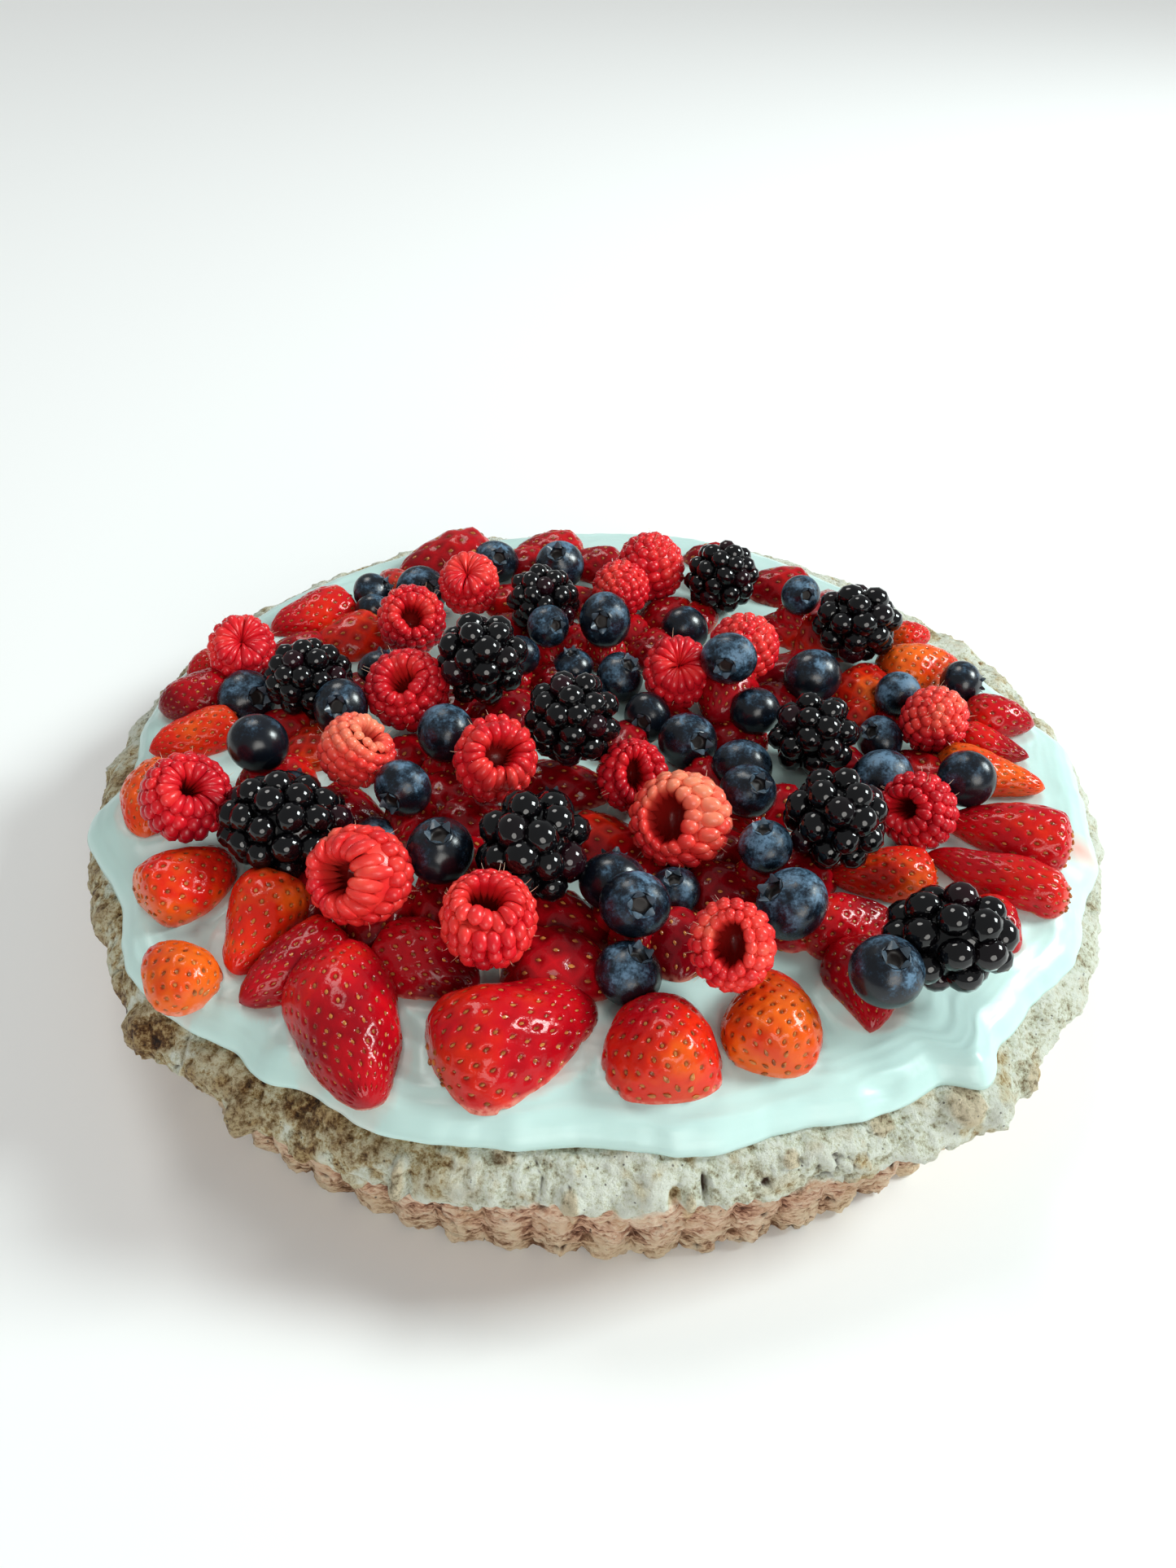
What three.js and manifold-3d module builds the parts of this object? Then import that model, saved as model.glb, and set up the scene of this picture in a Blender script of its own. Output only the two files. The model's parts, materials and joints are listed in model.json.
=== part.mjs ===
// A nut meringue cake: a fluted meringue base, a layer of whipped cream, and fresh fruit on top.
// Millimetres, +Z up. The origin is the middle of the flat underside, and -Y is the cake's front.
import * as THREE from "three";
import { mergeVertices } from "three/addons/utils/BufferGeometryUtils.js";
import Module from "manifold-3d";

const wasm = await Module();
wasm.setup();

// Driving dimensions of the base, which was baked in a round fluted tin
const FOOT_RADIUS = 135;
const SIDE_TOP_RADIUS = 137.4;
const SIDE_TOP = 25;
const FLUTES = 76;
const FLUTE_DEPTH = 2.2;
const POINTS_A_FLUTE = 3;

// The crust that rose over the tin's edge: radius, height, and how much of its lumps each ring has
const CRUST_RINGS = [
  [0, 22, 0],
  [131, 22, 0],
  [138.6, 24.6, 0.9],
  [140, 30, 1],
  [137.8, 36.2, 1],
  [131.5, 39.6, 0.5],
  [0, 37.4, 0],
];
const CRUST_SEGMENTS = 76;
const CRUST_LUMP = 1.1;
// Where the crust bulges well past the tin: direction in degrees, reach, half width in degrees
const CRUST_BULGES = [
  [-134, 3.6, 8],
  [-52, 5.0, 7],
  [-34, 1.6, 6],
  [62, 2.4, 9],
  [118, 2.8, 8],
];

// Cream
const CREAM_TOP = 45.4;
const CREAM_SEGMENTS = 76;
const CREAM_LIP = 1.3;
// The cream's wavy edge: direction in degrees, radius
const CREAM_EDGE = [
  [-172, 131], [-160, 140], [-150, 135], [-139, 140.5], [-131, 139.5], [-124, 136], [-120, 138],
  [-116, 135.5], [-108, 138], [-98, 135], [-90, 132.5], [-79, 135.5], [-72, 133.5], [-62, 137],
  [-57, 136.5], [-53, 142], [-48, 137], [-41, 136], [-34, 138], [-26, 136], [-18, 137], [-8, 135],
  [1, 136], [8, 131], [20, 126], [31, 123], [45, 125], [76, 130], [105, 127], [130, 129],
  [155, 131], [177, 133],
];

// The heap in the middle: a low core in a dish in the cream, with the fruit that shows fused on
const CORE = { across: -2, away: 2, radius: 112, bottom: 42.4, top: CREAM_TOP, segments: 26 };
const GAP = 0.35;
const CUT_FACE = CREAM_TOP + GAP;
const PRESSED_IN = 0.8;
const HEAP_SIDES = 6;
const PUSH_STEP = 0.3;
const PUSH_ROUNDS = 60;
const SMALLEST_EDGE = 0.2;

// Colours, roughness
const LOOKS = {
  crust: ["#b9ab92", 0.95],
  cream: ["#e2efe6", 0.35],
  strawberry: ["#b3161a", 0.4],
  raspberry: ["#d02434", 0.5],
  bramble: ["#15101a", 0.25],
  blueberry: ["#2c3a55", 0.6],
  heap: ["#7a1b24", 0.5],
};

// Strawberry pieces that lie singly round the edge, cut face down:
// across, away, long, wide, high, and the direction of the tip in degrees
const OUTER_STRAWBERRIES = [
  [-94, 53, 29, 20, 11, -140],
  [-117, 4, 21, 18, 12, -157],
  [-112, -14, 25, 15, 11, -147],
  [-115, -40, 26, 20, 11, -83],
  [-97, -69, 25, 22, 13, 44],
  [-77, -84, 28, 22, 13, -99],
  [-92, -98, 19, 17, 11, 134],
  [-66, -96, 28, 17, 12, -130],
  [-51, -112, 40, 25, 15, -69],
  [-37, -93, 26, 22, 12, -25],
  [-15, -110, 39, 31, 15, 32],
  [15, -112, 27, 26, 14, 104],
  [39, -105, 26, 23, 14, 88],
  [60, -75, 24, 18, 11, 17],
  [61, -94, 23, 21, 11, -94],
  [70, -58, 26, 17, 11, 179],
  [98, -58, 34, 15, 11, 153],
  [94, -75, 17, 14, 10, -68],
  [105, -41, 31, 20, 12, 163],
  [106, -18, 29, 16, 11, -19],
  [110, -5, 20, 11, 9, -29],
  [115, 8, 20, 16, 12, -12],
  [97, 35, 26, 20, 12, 15],
  [97, 52, 14, 12, 9, 17],
  [-119, 21, 14, 12, 8, -121],
];

// Strawberry pieces fused into the heap, in the same order of numbers: long and wide are what shows
// of a piece, and the whole piece is larger by the spread, as it reaches on under its neighbours
const HEAP_SPREAD = 1.3;
const HEAP_STRAWBERRIES = [
  [-81, 41, 22, 18, 11, -149],
  [-95, 33, 18, 14, 9, -176],
  [-81, -16, 16, 16, 10, -143],
  [-88, -31, 20, 16, 10, -152],
  [-6, -92, 22, 21, 12, -3],
  [19, -83, 16, 18, 10, -91],
  [34, -63, 19, 18, 10, 0],
  [72, 63, 34, 20, 13, 80],
  [57, 84, 20, 18, 11, 168],
  [57, 58, 17, 18, 10, 158],
  [36, 104, 17, 14, 9, 172],
  [37, 92, 18, 16, 9, 90],
  [19, 62, 16, 18, 10, 167],
  [14, 41, 14, 18, 10, 175],
  [51, 29, 26, 20, 11, -172],
  [47, 13, 19, 18, 10, -164],
  [79, 25, 20, 17, 11, 80],
  [73, 11, 11, 14, 9, 162],
  [-5, 94, 17, 17, 11, 174],
  [-21, 103, 20, 18, 11, -176],
  [-30, 94, 14, 15, 10, -176],
  [-56, 91, 27, 26, 16, -169],
  [-69, 75, 20, 14, 9, 120],
  [-1, 37, 13, 14, 9, -176],
  [-29, 4, 18, 20, 11, 173],
  [-8, -27, 21, 18, 10, 9],
  [-41, -33, 20, 18, 10, 95],
  [-31, -43, 17, 18, 10, 9],
  [5, -48, 20, 20, 10, 1],
  [-35, -74, 14, 20, 11, 8],
  [-64, -40, 16, 18, 10, -5],
  [-6, -77, 20, 20, 10, -17],
  [-41, -12, 19, 18, 10, -145],
  [34, 0, 13, 16, 9, 152],
  [46, -34, 14, 16, 10, -145],
  [-16, 23, 15, 15, 9, 170],
  [-32, 53, 15, 15, 9, 110],
  [0, 60, 14, 15, 9, 20],
  [-50, -80, 20, 18, 11, -100],
  [-68, -72, 15, 15, 9, -120],
  [-28, -60, 15, 15, 9, -60],
  [16, -60, 14, 14, 9, 40],
  [34, -50, 14, 14, 9, 0],
  [52, -56, 16, 16, 10, 60],
  [31, -24, 14, 14, 9, -60],
  [70, -13, 14, 13, 9, -30],
  [88, -13, 16, 14, 9, 120],
  [6, -6, 15, 14, 9, 100],
  [23, 6, 13, 12, 8, -20],
  [-53, -15, 16, 15, 9, 60],
  [-90, -5, 15, 14, 9, 170],
  [-42, 8, 14, 14, 9, 40],
  [-74, 17, 14, 13, 8, 170],
  [-9, 46, 14, 13, 9, 80],
  [9, 50, 13, 13, 9, -70],
  [-33, 69, 16, 15, 9, 140],
  [-7, 71, 15, 14, 9, 20],
  [31, 65, 15, 14, 9, 60],
];

// Whole fruit: across, away, height of the middle, size across, then the direction in degrees
// and the rise above level that a raspberry's hole, a bramble's tip or a blueberry's crown faces
const RASPBERRIES = [
  [-44, 59, 57, 20, -97, 68],
  [-58, 37, 57, 22, -74, 43],
  [-54, -2, 58, 23, -107, 58],
  [-106, 16, 57, 20, -60, 60],
  [-100, -53, 61, 23, -45, 47],
  [-59, -40, 64, 19.5, 11, 49],
  [-26, -38, 64, 22, -70, 46],
  [8, -31, 56, 19, -86, 38],
  [21, -51, 58, 24, -111, 42],
  [-50, -82, 58, 23, -109, 41],
  [-23, -92, 61, 21, -72, 68],
  [29, -97, 63, 19, -109, 44],
  [24, 12, 57, 21, -85, 58],
  [41, 24, 63, 20, 90, -70],
  [5, 61, 57, 18.5, 80, -20],
  [13, 78, 58, 23, 90, -75],
  [92, -5, 56, 20, 70, -50],
  [82, -41, 56, 19.5, -134, 30],
];
const BRAMBLES = [
  [37, 70, 58, 23, -60, 50],
  [-19, 49, 58, 23, -110, 40],
  [-34, 3, 67, 24, -70, 45],
  [-82, 3, 58, 23, -120, 35],
  [-7, -24, 67, 25.5, -80, 40],
  [-75, -62, 59, 25, 175, 6],
  [-14, -70, 64, 26, -100, 30],
  [57, -14, 58, 22.5, -75, 45],
  [57, -55, 63, 23, -60, 35],
  [79, 40, 59, 24, -90, 30],
  [76, -92, 62, 23, -20, 25],
];
const BRAMBLE_LONG = 1.12;
const LONG_BRAMBLE = 1.3;

// Blueberries that rest clear of the heap
const LONE_BLUEBERRIES = [
  [106, 21, 53, 13, -6, 4],
  [62, -102, 63, 16, -80, 72],
  [96, -30, 57, 15, 60, -10],
];
const HEAP_BLUEBERRIES = [
  [-38, 87, 51.5, 15, -68, 41],
  [-16, 84, 52.5, 17, -106, 61],
  [-60, 65, 52, 16, -57, 33],
  [-76, 64, 51, 14, 3, 34],
  [-74, 54, 50, 12.5, -90, -20],
  [-17, 33, 60, 13, -56, 31],
  [0, 36, 61, 16.5, -100, 27],
  [-25, 24, 55, 12.5, 90, 10],
  [-9, 25, 50.5, 13, 171, 84],
  [5, 20, 51.5, 15, -32, 62],
  [-4, 14, 49.5, 11, 90, 0],
  [13, 1, 51, 14, -106, 16],
  [24, -11, 52, 16.5, -63, 31],
  [25, 47, 51.5, 15, 120, -20],
  [35, 8, 67, 15, -104, 10],
  [61, 55, 61, 13, -77, 30],
  [85, 11, 55, 14, 90, -10],
  [61, 17, 56, 17, 100, -30],
  [43, 0, 55, 14, 90, -30],
  [78, -5, 50.5, 13, -150, 45],
  [75, -25, 52, 16.5, 110, -20],
  [38, -22, 52, 16, 90, -20],
  [38, -38, 57, 14.5, -59, 54],
  [40, -62, 60, 13, 176, 78],
  [45, -78, 57, 16.5, -174, 42],
  [19, -68, 50, 12, -119, 77],
  [9, -84, 61, 16, -77, 43],
  [4, -73, 57, 15, 90, 20],
  [-36, -71, 63, 16.5, -81, 76],
  [-48, -49, 63, 14.5, -112, 2],
  [-41, -22, 60, 16, 60, -30],
  [-55, -55, 50.5, 13, -115, 45],
  [-101, 1, 52, 16, -37, 30],
  [-88, -32, 62, 16, 80, -20],
  [-71, -11, 59, 15, -89, 39],
  [-66, 19, 51, 14, 90, 30],
  [-79, -39, 51, 14, 90, 10],
  [-12, -41, 50, 12.5, 90, 20],
  [8, -96, 51.5, 15, 10, 69],
];
// A blueberry of the heap that stands this far above the core has a bit of strawberry under it
const PROP_FROM = 2;
const PROP = { long: 14, wide: 12, sunk: 3.4, sides: 5 };

// Profiles, as shares of the fruit's half width and half length, from one end of its axis to the other
const RASPBERRY_PROFILE = [[0, -1], [0.6, -0.8], [0.94, -0.15], [0.96, 0.5], [0.72, 0.94], [0.42, 0.7], [0, -0.1]];
const BRAMBLE_PROFILE = [[0, -0.94], [0.6, -0.74], [0.93, -0.24], [0.97, 0.26], [0.68, 0.72], [0, 1]];
const BLUEBERRY_PROFILE = [[0, -0.9], [0.82, -0.52], [0.97, 0.2], [0.36, 0.86], [0, 0.64]];
const STRAWBERRY_PROFILE = [[0, -1], [0.78, -0.8], [1, -0.2], [0.86, 0.38], [0.45, 0.82], [0, 1]];
const HEAP_STRAWBERRY_PROFILE = [[0, -1], [0.94, -0.55], [0.96, 0.3], [0, 1]];
const DRUPELET_RELIEF = 0.05;

// A three.js geometry as a solid, and back
function toSolid(geometry) {
  const bare = geometry.clone();
  bare.deleteAttribute("normal");
  bare.deleteAttribute("uv");
  const merged = mergeVertices(bare, 1e-3);
  return new wasm.Manifold(
    new wasm.Mesh({
      numProp: 3,
      vertProperties: new Float32Array(merged.attributes.position.array),
      triVerts: new Uint32Array(merged.index.array),
    }),
  );
}

function toGeometry(solid) {
  const mesh = solid.getMesh();
  const geometry = new THREE.BufferGeometry();
  geometry.setAttribute("position", new THREE.BufferAttribute(mesh.vertProperties, 3));
  geometry.setIndex(new THREE.BufferAttribute(mesh.triVerts, 1));
  geometry.computeVertexNormals();
  return geometry;
}

function namedMesh(name, geometry, look) {
  const [color, roughness] = LOOKS[look];
  const material = new THREE.MeshStandardMaterial({ color, roughness, metalness: 0 });
  const mesh = new THREE.Mesh(geometry, material);
  mesh.name = name;
  return mesh;
}

function numbered(kind, index) {
  return kind + "_" + String(index + 1).padStart(2, "0");
}

// A profile turned round the Z axis
function turned(profile, segments) {
  const points = profile.map(([radius, height]) => new THREE.Vector2(radius, height));
  return new THREE.LatheGeometry(points, segments).rotateX(Math.PI / 2);
}

// Moves every vertex, given its radius, direction and height, and rewrites its radius and height
function reshaped(geometry, rule) {
  const at = geometry.attributes.position;
  for (let i = 0; i < at.count; i++) {
    const angle = Math.atan2(at.getY(i), at.getX(i));
    const radius = Math.hypot(at.getX(i), at.getY(i));
    if (radius > 1e-6) {
      const [newRadius, height] = rule(radius, angle, at.getZ(i));
      at.setXYZ(i, newRadius * Math.cos(angle), newRadius * Math.sin(angle), height);
    }
  }
  return geometry;
}

// Smooth lumps round the cake, between -1 and 1: waves of a few lengths, shifted by a seeded draw
function seededLumps(seed, waves) {
  let state = seed;
  const shifts = waves.map(() => {
    state = (state * 16807) % 2147483647;
    return (2 * Math.PI * state) / 2147483647;
  });
  return (angle) =>
    waves.reduce((sum, wave, i) => sum + Math.sin(wave * angle + shifts[i]), 0) / Math.sqrt(waves.length);
}

function degreesApart(angle, degrees) {
  const apart = THREE.MathUtils.radToDeg(angle) - degrees;
  return apart - 360 * Math.round(apart / 360);
}

function bulgeAt(angle) {
  const each = CRUST_BULGES.map(([at, reach, half]) => reach * Math.exp(-((degreesApart(angle, at) / half) ** 2)));
  return each.reduce((sum, one) => sum + one, 0);
}

// The base: a fluted side, with the risen crust joined on top
function meringueBase() {
  const side = turned([[0, 0], [FOOT_RADIUS, 0], [SIDE_TOP_RADIUS, SIDE_TOP], [0, SIDE_TOP]], FLUTES * POINTS_A_FLUTE);
  reshaped(side, (radius, angle, height) => {
    const share = (angle * FLUTES) / (2 * Math.PI);
    const fromValley = Math.abs(share - Math.round(share)) * POINTS_A_FLUTE;
    return [radius - FLUTE_DEPTH * Math.max(0, 1 - fromValley), height];
  });
  const outward = seededLumps(11, [7, 13, 21, 34]);
  const upward = seededLumps(29, [5, 16, 27, 38]);
  const share = new Map(CRUST_RINGS.map(([radius, , lumps]) => [radius, lumps]));
  const crust = turned(CRUST_RINGS.map(([radius, height]) => [radius, height]), CRUST_SEGMENTS);
  reshaped(crust, (radius, angle, height) => {
    const ring = [...share.keys()].find((known) => Math.abs(known - radius) < 0.01);
    const lumps = share.get(ring);
    const out = CRUST_LUMP * outward(angle) + bulgeAt(angle);
    return [radius + lumps * out, height + lumps * CRUST_LUMP * upward(angle + radius)];
  });
  return toSolid(side).add(toSolid(crust));
}

function creamEdgeAt(angle) {
  const degrees = THREE.MathUtils.radToDeg(angle);
  const first = CREAM_EDGE[0][0];
  const wrapped = degrees < first ? degrees + 360 : degrees;
  const next = CREAM_EDGE.findIndex(([at]) => at > wrapped);
  const [toAt, toRadius] = next < 0 ? [first + 360, CREAM_EDGE[0][1]] : CREAM_EDGE[next];
  const [fromAt, fromRadius] = CREAM_EDGE.at(next < 0 ? -1 : next - 1);
  const share = (1 - Math.cos((Math.PI * (wrapped - fromAt)) / (toAt - fromAt))) / 2;
  return fromRadius + (toRadius - fromRadius) * share;
}

// Height of the plain crust at a radius, along the rings of its top
function crustHeight(radius) {
  const top = CRUST_RINGS.slice(3);
  const outer = Math.max(0, top.findIndex(([ring]) => ring <= radius) - 1);
  const [r1, h1] = top[outer];
  const [r2, h2] = top[outer + 1];
  return h1 + ((h2 - h1) * (radius - r1)) / (r2 - r1);
}

// The cream: a slab with a rounded, wavy edge that drapes over the crust, cut to lie on it
function creamLayer(base, dish) {
  const profile = [[0, 34], [118, 34], [139, 1], [139, 2], [139, 3], [139, 4], [100, CREAM_TOP], [0, CREAM_TOP]];
  const inset = [1.8, 0, 3.4, 9];
  const above = [-2.2, CREAM_LIP, 3.9, null];
  const slab = reshaped(turned(profile, CREAM_SEGMENTS), (radius, angle, mark) => {
    if (mark > 4.5) return [radius, mark];
    const ring = Math.round(mark) - 1;
    const at = creamEdgeAt(angle) - inset[ring];
    const height = above[ring] === null ? CREAM_TOP : Math.min(CREAM_TOP, crustHeight(at) + above[ring]);
    return [at, height];
  });
  return toSolid(slab).subtract(base.translate([0, 0, GAP])).subtract(dish).simplify(SMALLEST_EDGE);
}

function coreSolid(spare) {
  const { across, away, radius, bottom, top, segments } = CORE;
  const profile = [[0, bottom - spare], [radius + spare, bottom - spare], [radius + spare, top + spare], [0, top + spare]];
  return toSolid(turned(profile, segments)).translate([across, away, 0]);
}

// A strawberry cut lengthwise: a whole berry on its side, trimmed level so that its height is left
function strawberryPiece([across, away, long, wide, high, turn], foot, profile, segments) {
  const whole = turned(profile.map(([r, l]) => [(r * wide) / 2, (l * long) / 2]), segments);
  whole.rotateX(-Math.PI / 2).rotateZ(-Math.PI / 2).rotateX(Math.PI / segments);
  whole.translate(0, 0, high - wide / 2);
  const piece = toSolid(whole).trimByPlane([0, 0, 1], 0);
  return piece.rotate([0, 0, turn]).translate([across, away, foot]);
}

// Whole fruit, with its axis along Z: every other facet stands out where the fruit has drupelets
function wholeFruit(profile, size, stretch, segments, relief) {
  const points = profile.map(([r, l]) => [(r * size) / 2, (l * size * stretch) / 2]);
  const geometry = turned(points, segments);
  if (relief === 0) return geometry;
  return reshaped(geometry, (radius, angle, height) => {
    const column = Math.round(((angle + Math.PI / 2) * segments) / (2 * Math.PI));
    const row = points.findIndex(([, h]) => Math.abs(h - height) < 1e-3);
    return [radius * (1 + relief * ((column + row) % 2 === 0 ? 1 : -1)), height];
  });
}

// Turns a fruit's +Z axis to the way it faces
function facing(turn, tilt) {
  const level = THREE.MathUtils.degToRad(turn);
  const rise = THREE.MathUtils.degToRad(tilt);
  const way = new THREE.Vector3(Math.cos(rise) * Math.cos(level), Math.cos(rise) * Math.sin(level), Math.sin(rise));
  return new THREE.Quaternion().setFromUnitVectors(new THREE.Vector3(0, 0, 1), way);
}

// A fruit as it is placed: its shape, the way it faces, where it is, and its turned solid,
// plain or a gap larger all round
function placedFruit(geometry, [across, away, height, size, turn, tilt]) {
  const way = facing(turn, tilt);
  const turnedBy = new THREE.Matrix4().makeRotationFromQuaternion(way);
  const solid = toSolid(geometry).transform([...turnedBy.elements]);
  const swollen = solid.scale((size + 2 * GAP) / size);
  return { geometry, way, solid, swollen, at: new THREE.Vector3(across, away, height), reach: 0.65 * size };
}

function inPlace(fruit) {
  return fruit.solid.translate(fruit.at.toArray());
}

function inPlaceSwollen(fruit) {
  return fruit.swollen.translate(fruit.at.toArray());
}

// Pushes two fruit apart along the line between their middles where they run into each other
function pushApart(one, other, share) {
  if (one.at.distanceTo(other.at) > one.reach + other.reach) return false;
  if (inPlaceSwollen(one).intersect(inPlace(other)).isEmpty()) return false;
  const way = one.at.clone().sub(other.at).normalize();
  one.at.addScaledVector(way, share * PUSH_STEP);
  other.at.addScaledVector(way, (share - 1) * PUSH_STEP);
  return true;
}

// Settles the fruit that lies singly, so that each is clear of the others and of what lies still
function settle(fruit, still) {
  for (let round = 0, moved = true; moved && round < PUSH_ROUNDS; round++) {
    moved = false;
    fruit.forEach((one, i) => {
      fruit.slice(i + 1).forEach((other) => (moved = pushApart(one, other, 0.5) || moved));
      still.forEach((other) => (moved = pushApart(one, other, 1) || moved));
      const low = inPlace(one).boundingBox().min[2];
      one.at.z += Math.max(0, CUT_FACE - low);
    });
  }
}

// A copy of a piece that is a gap larger all round, for cutting its neighbour clear of it
function swollenBy(piece, gap) {
  const { min, max } = piece.boundingBox();
  const middle = min.map((low, i) => (low + max[i]) / 2);
  const scale = min.map((low, i) => (max[i] - low + 2 * gap) / (max[i] - low));
  return piece.translate(middle.map((v) => -v)).scale(scale).translate(middle);
}

// Outer strawberries: each is cut clear of those that lie over it, later in the list
function outerStrawberries() {
  const pieces = OUTER_STRAWBERRIES.map((row) => strawberryPiece(row, CUT_FACE, STRAWBERRY_PROFILE, 8));
  return pieces.map((piece, i) =>
    pieces.slice(i + 1).reduce((left, over) => left.subtract(swollenBy(over, GAP)), piece),
  );
}

function propUnder([across, away, height, size, turn]) {
  const above = height - size / 2 - CREAM_TOP;
  const high = above + PROP.sunk + PRESSED_IN;
  const wide = Math.max(PROP.wide, high + 2);
  const foot = CREAM_TOP - PRESSED_IN;
  const row = [across, away, Math.max(PROP.long, wide), wide, high, turn];
  return above > PROP_FROM ? [strawberryPiece(row, foot, HEAP_STRAWBERRY_PROFILE, PROP.sides)] : [];
}

// Strawberries of the heap are pressed into the core a little, but not where they reach past it
function footOf([across, away, long, wide, , turn]) {
  const axis = new THREE.Vector2(long / 2, 0).rotateAround(new THREE.Vector2(), THREE.MathUtils.degToRad(turn));
  const middle = new THREE.Vector2(across - CORE.across, away - CORE.away);
  const ends = [middle.clone().add(axis), middle.clone().sub(axis)];
  const past = Math.max(...ends.map((end) => end.length())) > CORE.radius - 1;
  const wider = middle.length() + wide / 2 > CORE.radius - 1;
  return past || wider ? CUT_FACE : CREAM_TOP - PRESSED_IN;
}

// The heap: core, strawberries, blueberries and what holds them up, as one body
function fruitHeap(blueberries, clearOf) {
  const strawberries = HEAP_STRAWBERRIES.map(([across, away, long, wide, high, turn]) => {
    const row = [across, away, HEAP_SPREAD * long, HEAP_SPREAD * wide, high, turn];
    return strawberryPiece(row, footOf(row), HEAP_STRAWBERRY_PROFILE, HEAP_SIDES);
  });
  const props = HEAP_BLUEBERRIES.flatMap(propUnder);
  const heap = wasm.Manifold.union([coreSolid(0), ...strawberries, ...props, ...blueberries.map(inPlace)]);
  return clearOf.reduce((left, piece) => left.subtract(piece), heap).simplify(SMALLEST_EDGE);
}

function raspberry(row) {
  return placedFruit(wholeFruit(RASPBERRY_PROFILE, row[3], 0.94, 8, DRUPELET_RELIEF), row);
}

function bramble(row) {
  const stretch = row[5] < 10 ? LONG_BRAMBLE : BRAMBLE_LONG;
  return placedFruit(wholeFruit(BRAMBLE_PROFILE, row[3], stretch, 10, DRUPELET_RELIEF), row);
}

function blueberry(row, sides) {
  return placedFruit(wholeFruit(BLUEBERRY_PROFILE, row[3], 1, sides, 0), row);
}

function pieceInPlace(solid) {
  const { min, max } = solid.boundingBox();
  const at = new THREE.Vector3(...min).add(new THREE.Vector3(...max)).multiplyScalar(0.5);
  return { solid: solid.translate(at.clone().negate().toArray()), at, reach: 22 };
}

// The cake
const base = meringueBase();
const cream = creamLayer(base, coreSolid(GAP));
const outer = outerStrawberries();
const heaped = HEAP_BLUEBERRIES.map((row) => blueberry(row, HEAP_SIDES));
const kinds = {
  bramble: BRAMBLES.map(bramble),
  raspberry: RASPBERRIES.map(raspberry),
  blueberry: LONE_BLUEBERRIES.map((row) => blueberry(row, 8)),
};
const single = Object.values(kinds).flat();
settle(single, [...heaped, ...outer.map(pieceInPlace)]);
const heap = fruitHeap(heaped, [...outer.map((piece) => swollenBy(piece, GAP)), ...single.map(inPlaceSwollen)]);

const cake = new THREE.Group();
cake.add(namedMesh("meringue_base", toGeometry(base), "crust"));
cake.add(namedMesh("cream", toGeometry(cream), "cream"));
cake.add(namedMesh("fruit_heap", toGeometry(heap), "heap"));
outer.forEach((piece, i) => cake.add(namedMesh(numbered("strawberry", i), toGeometry(piece), "strawberry")));
for (const [kind, fruit] of Object.entries(kinds)) {
  const group = new THREE.Group();
  fruit.forEach(({ geometry, way, at }, i) => {
    const mesh = namedMesh(numbered(kind, i), geometry, kind);
    mesh.quaternion.copy(way);
    mesh.position.copy(at);
    group.add(mesh);
  });
  cake.add(group);
}

export default cake;
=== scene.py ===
# %% [markdown]
# # A nut meringue cake
#
# The cake is a nut meringue baked in a round fluted tin, a layer of whipped cream, and fresh fruit:
# cut strawberries, raspberries, brambles and blueberries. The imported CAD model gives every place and
# size. This script builds the pieces that are looked at, in metres, around that model.

# %% Load the frame
import json
import math
import random

import bmesh
import bpy
from mathutils import Matrix, Vector, noise

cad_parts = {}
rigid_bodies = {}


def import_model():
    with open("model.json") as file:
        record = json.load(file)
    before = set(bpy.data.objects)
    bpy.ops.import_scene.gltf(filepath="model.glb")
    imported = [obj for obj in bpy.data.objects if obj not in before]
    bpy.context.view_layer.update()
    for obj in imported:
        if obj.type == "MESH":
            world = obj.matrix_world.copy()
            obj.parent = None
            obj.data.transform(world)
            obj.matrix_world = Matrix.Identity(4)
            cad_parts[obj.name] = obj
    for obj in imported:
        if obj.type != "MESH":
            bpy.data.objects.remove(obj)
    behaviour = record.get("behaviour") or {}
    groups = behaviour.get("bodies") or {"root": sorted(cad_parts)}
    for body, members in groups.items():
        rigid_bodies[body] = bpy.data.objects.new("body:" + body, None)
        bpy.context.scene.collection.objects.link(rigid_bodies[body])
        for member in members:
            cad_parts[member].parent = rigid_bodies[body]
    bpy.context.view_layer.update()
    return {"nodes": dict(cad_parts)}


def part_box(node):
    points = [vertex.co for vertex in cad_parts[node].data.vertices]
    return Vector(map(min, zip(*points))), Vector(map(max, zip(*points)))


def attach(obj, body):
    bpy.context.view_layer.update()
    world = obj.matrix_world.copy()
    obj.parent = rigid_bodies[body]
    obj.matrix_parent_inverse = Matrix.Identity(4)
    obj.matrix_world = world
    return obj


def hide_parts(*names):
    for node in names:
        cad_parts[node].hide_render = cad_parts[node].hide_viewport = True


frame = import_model()
MM = 0.001
print("CAD nodes:", len(frame["nodes"]))

# Noise that gives a vector starts at a new place in each run, unless it is given a seed
NOISE_SEED = 7
noise.seed_set(NOISE_SEED)

# %% [markdown]
# ## Camera
#
# The photograph looks down on the front of the cake from close by. Its camera was found by fitting a
# pinhole camera to the round foot of the cake, so the place, the three angles and the focal length are
# given as they came out.

# %% Camera
CAMERA_PLACE = Vector((0.0, -0.2707, 0.2476))
CAMERA_YAW = math.radians(-0.69)
CAMERA_DOWN = math.radians(39.25)
CAMERA_ROLL = math.radians(1.68)
FOCAL_LENGTH_MM = 27.07
CLIP_START = 0.01


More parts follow.
